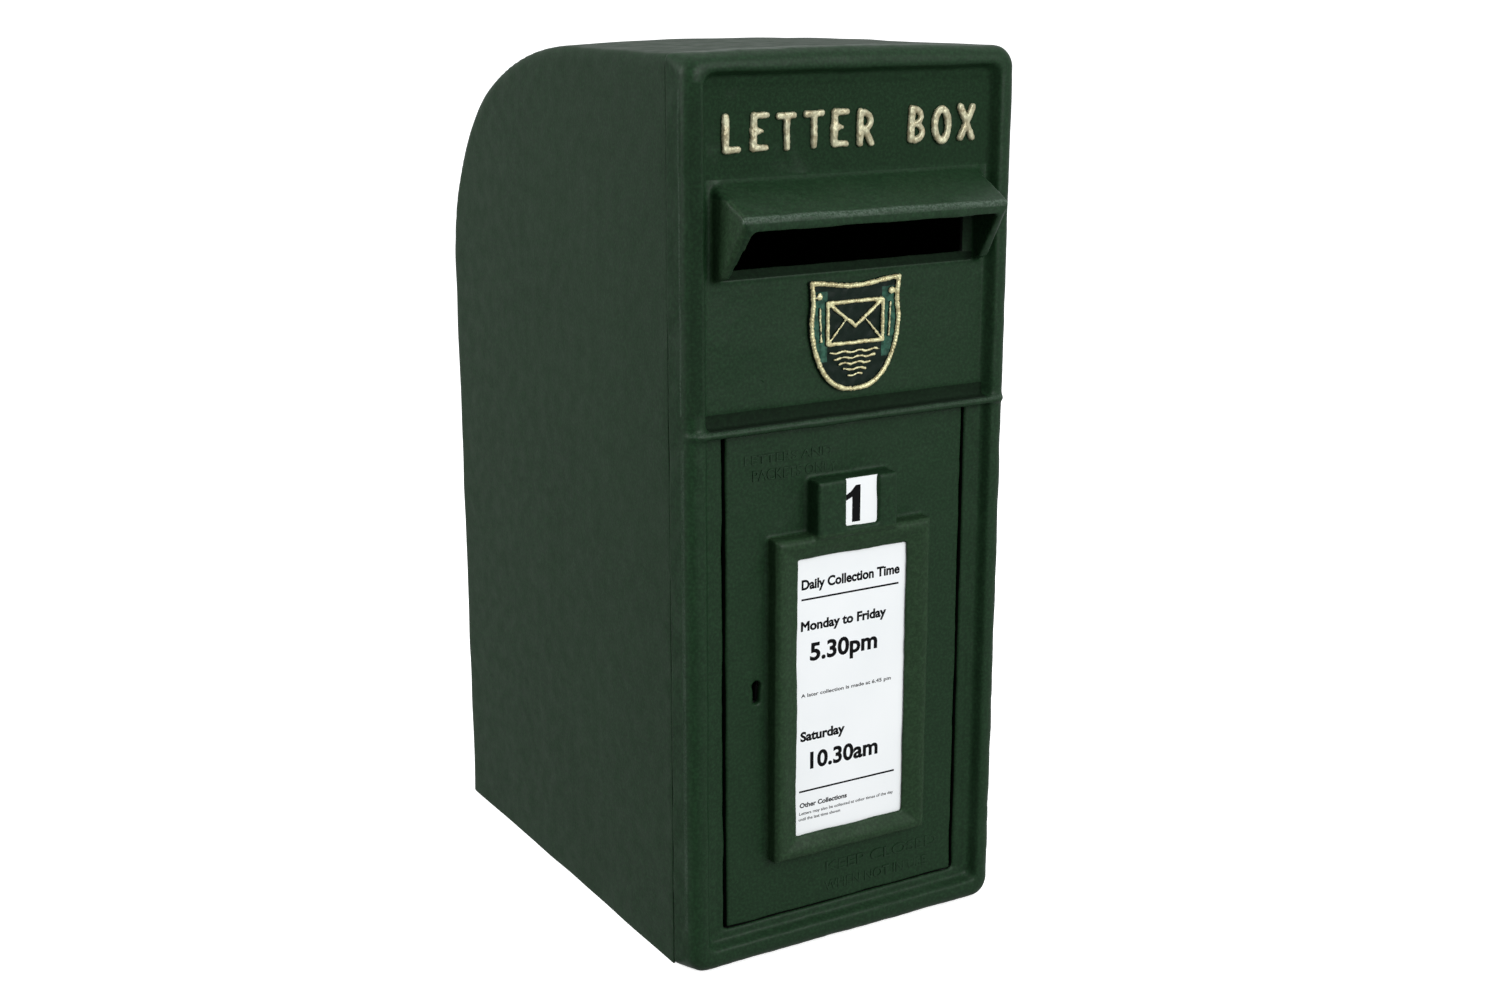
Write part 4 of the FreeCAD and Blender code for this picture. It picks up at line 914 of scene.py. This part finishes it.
def numeral_one():
    """A heavy figure one whose flag runs off the card's left edge."""
    foot, top = NUMBER_FOOT, NUMBER_FOOT + NUMBER_TALL
    stem_l, stem_r = NUMBER_STEM
    outline = [(stem_l, foot), (stem_r, foot), (stem_r, top), (stem_r - 3.6, top), (stem_l - 1.2, top - 3.9),
               (stem_l - FLAG_REACH, top - 6.0), (stem_l - FLAG_REACH, top - 9.8), (stem_l, top - 7.4)]
    form = bmesh.new()
    prism(form, raised(outline, NUMBER_FACE - 1.5 * INK), raised(outline, NUMBER_FACE - 0.5 * INK))
    bmesh.ops.recalc_face_normals(form, faces=form.faces)
    return piece(from_bmesh("number_print", form), "number", PAINT["ink"])


CAST_LINES = (("LETTERS AND", -76, -12, 334.5, 5.6, 0.012),
              ("PACKETS ONLY", -70, -8, 323.5, 6.8, 0.012),
              ("KEEP CLOSED", -13, 77, 46.5, 7.4, 0.012),
              ("WHEN NOT IN USE", -14, 69, 33.0, 7.0, 0.012))
CAST_RISE = 0.75


def cast_words():
    """Worn two-line inscriptions in low relief near the door's top and foot."""
    form = typeset(CAST_LINES, PANEL + 0.65, CAST_RISE)
    return piece(shade_smooth(from_bmesh("cast_words", form), 50), "door", PAINT["door"])


# ---------------------------------------------------------------- carried-over parts

def dress_cad_nodes():
    """Materials for the CAD nodes that keep their own shape."""
    finishes = {
        "base_plate": "sheet",
        "frame_screws": "zinc", "frame_washers": "zinc", "lock_screws": "zinc", "lock_cap_screws": "zinc",
        "backplate_screws": "zinc", "card_backplate": "zinc",
        "hinge_pin_upper": "dark_steel", "hinge_pin_lower": "dark_steel", "hinge_washer": "dark_steel",
        "lock_bolt": "brass", "bolt_spring": "steel", "bolt_stump": "steel", "key_post": "steel",
        "lock_case": "lacquer", "lock_cap": "lacquer",
        "times_card": "card", "number_card": "card",
    }
    for node, finish in finishes.items():
        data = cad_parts[node].data
        for index in range(max(1, len(data.materials))):
            if data.materials:
                data.materials[index] = PAINT[finish]
            else:
                data.materials.append(PAINT[finish])


# ---------------------------------------------------------------- studio

def camera():
    data = bpy.data.cameras.new("camera")
    data.lens = CAMERA_LENS
    data.sensor_width = SENSOR_WIDE
    data.clip_end = CAMERA_REACH
    made = bpy.data.objects.new("camera", data)
    bpy.context.scene.collection.objects.link(made)
    yaw, pitch = math.radians(CAMERA_YAW), math.radians(CAMERA_PITCH)
    ahead = Vector((math.sin(yaw) * math.cos(pitch), math.cos(yaw) * math.cos(pitch), -math.sin(pitch)))
    made.location = CAMERA_AT
    made.rotation_mode = "QUATERNION"
    made.rotation_quaternion = ahead.to_track_quat("-Z", "Y")
    bpy.context.scene.camera = made


def softbox(name, place, size, power):
    data = bpy.data.lights.new(name, "AREA")
    data.shape = "RECTANGLE"
    data.size, data.size_y = size
    data.energy = power
    made = bpy.data.objects.new(name, data)
    bpy.context.scene.collection.objects.link(made)
    made.location = place
    made.rotation_mode = "QUATERNION"
    made.rotation_quaternion = (Vector(AIM) - Vector(place)).to_track_quat("-Z", "Y")
    made.visible_camera = False


def studio():
    form = bmesh.new()
    bmesh.ops.create_circle(form, cap_ends=True, segments=96, radius=FLOOR_R)
    floor = from_bmesh("floor", form)
    floor.data.materials.append(floor_material())
    floor.visible_diffuse = False
    floor.visible_glossy = False
    world = bpy.data.worlds.new("studio")
    world.use_nodes = True
    tree = world.node_tree
    back = tree.nodes["Background"]
    back.inputs["Color"].default_value = (0.98, 0.99, 1.0, 1.0)
    aim = wire(tree, "ShaderNodeTexCoord")
    split = wire(tree, "ShaderNodeSeparateXYZ", {"Vector": (aim, "Generated")})
    sky = ramp(tree, (split, "Z"), SKY[0], SKY[1], -1.0, 1.0)
    facing = wire(tree, "ShaderNodeVectorMath", {0: (aim, "Generated"), 1: DARK_SIDE},
                  operation="DOT_PRODUCT")
    gap = ramp(tree, (facing, "Value"), 1.0, DARK_LEVEL, *DARK_SPREAD)
    level = wire(tree, "ShaderNodeMath", {0: (sky, "Result"), 1: (gap, "Result")}, operation="MULTIPLY")
    link(tree, (level, "Value"), back, "Strength")
    bpy.context.scene.world = world
    for name, place, size, power in LAMPS:
        softbox(name, place, size, power)
    bpy.context.scene.view_settings.view_transform = "Standard"


camera()
studio()
front_casting()
door_casting()
sheet_body()
lettering()
emblem_ground()
emblem_lines()
times_print()
numeral_one()
cast_words()
dress_cad_nodes()
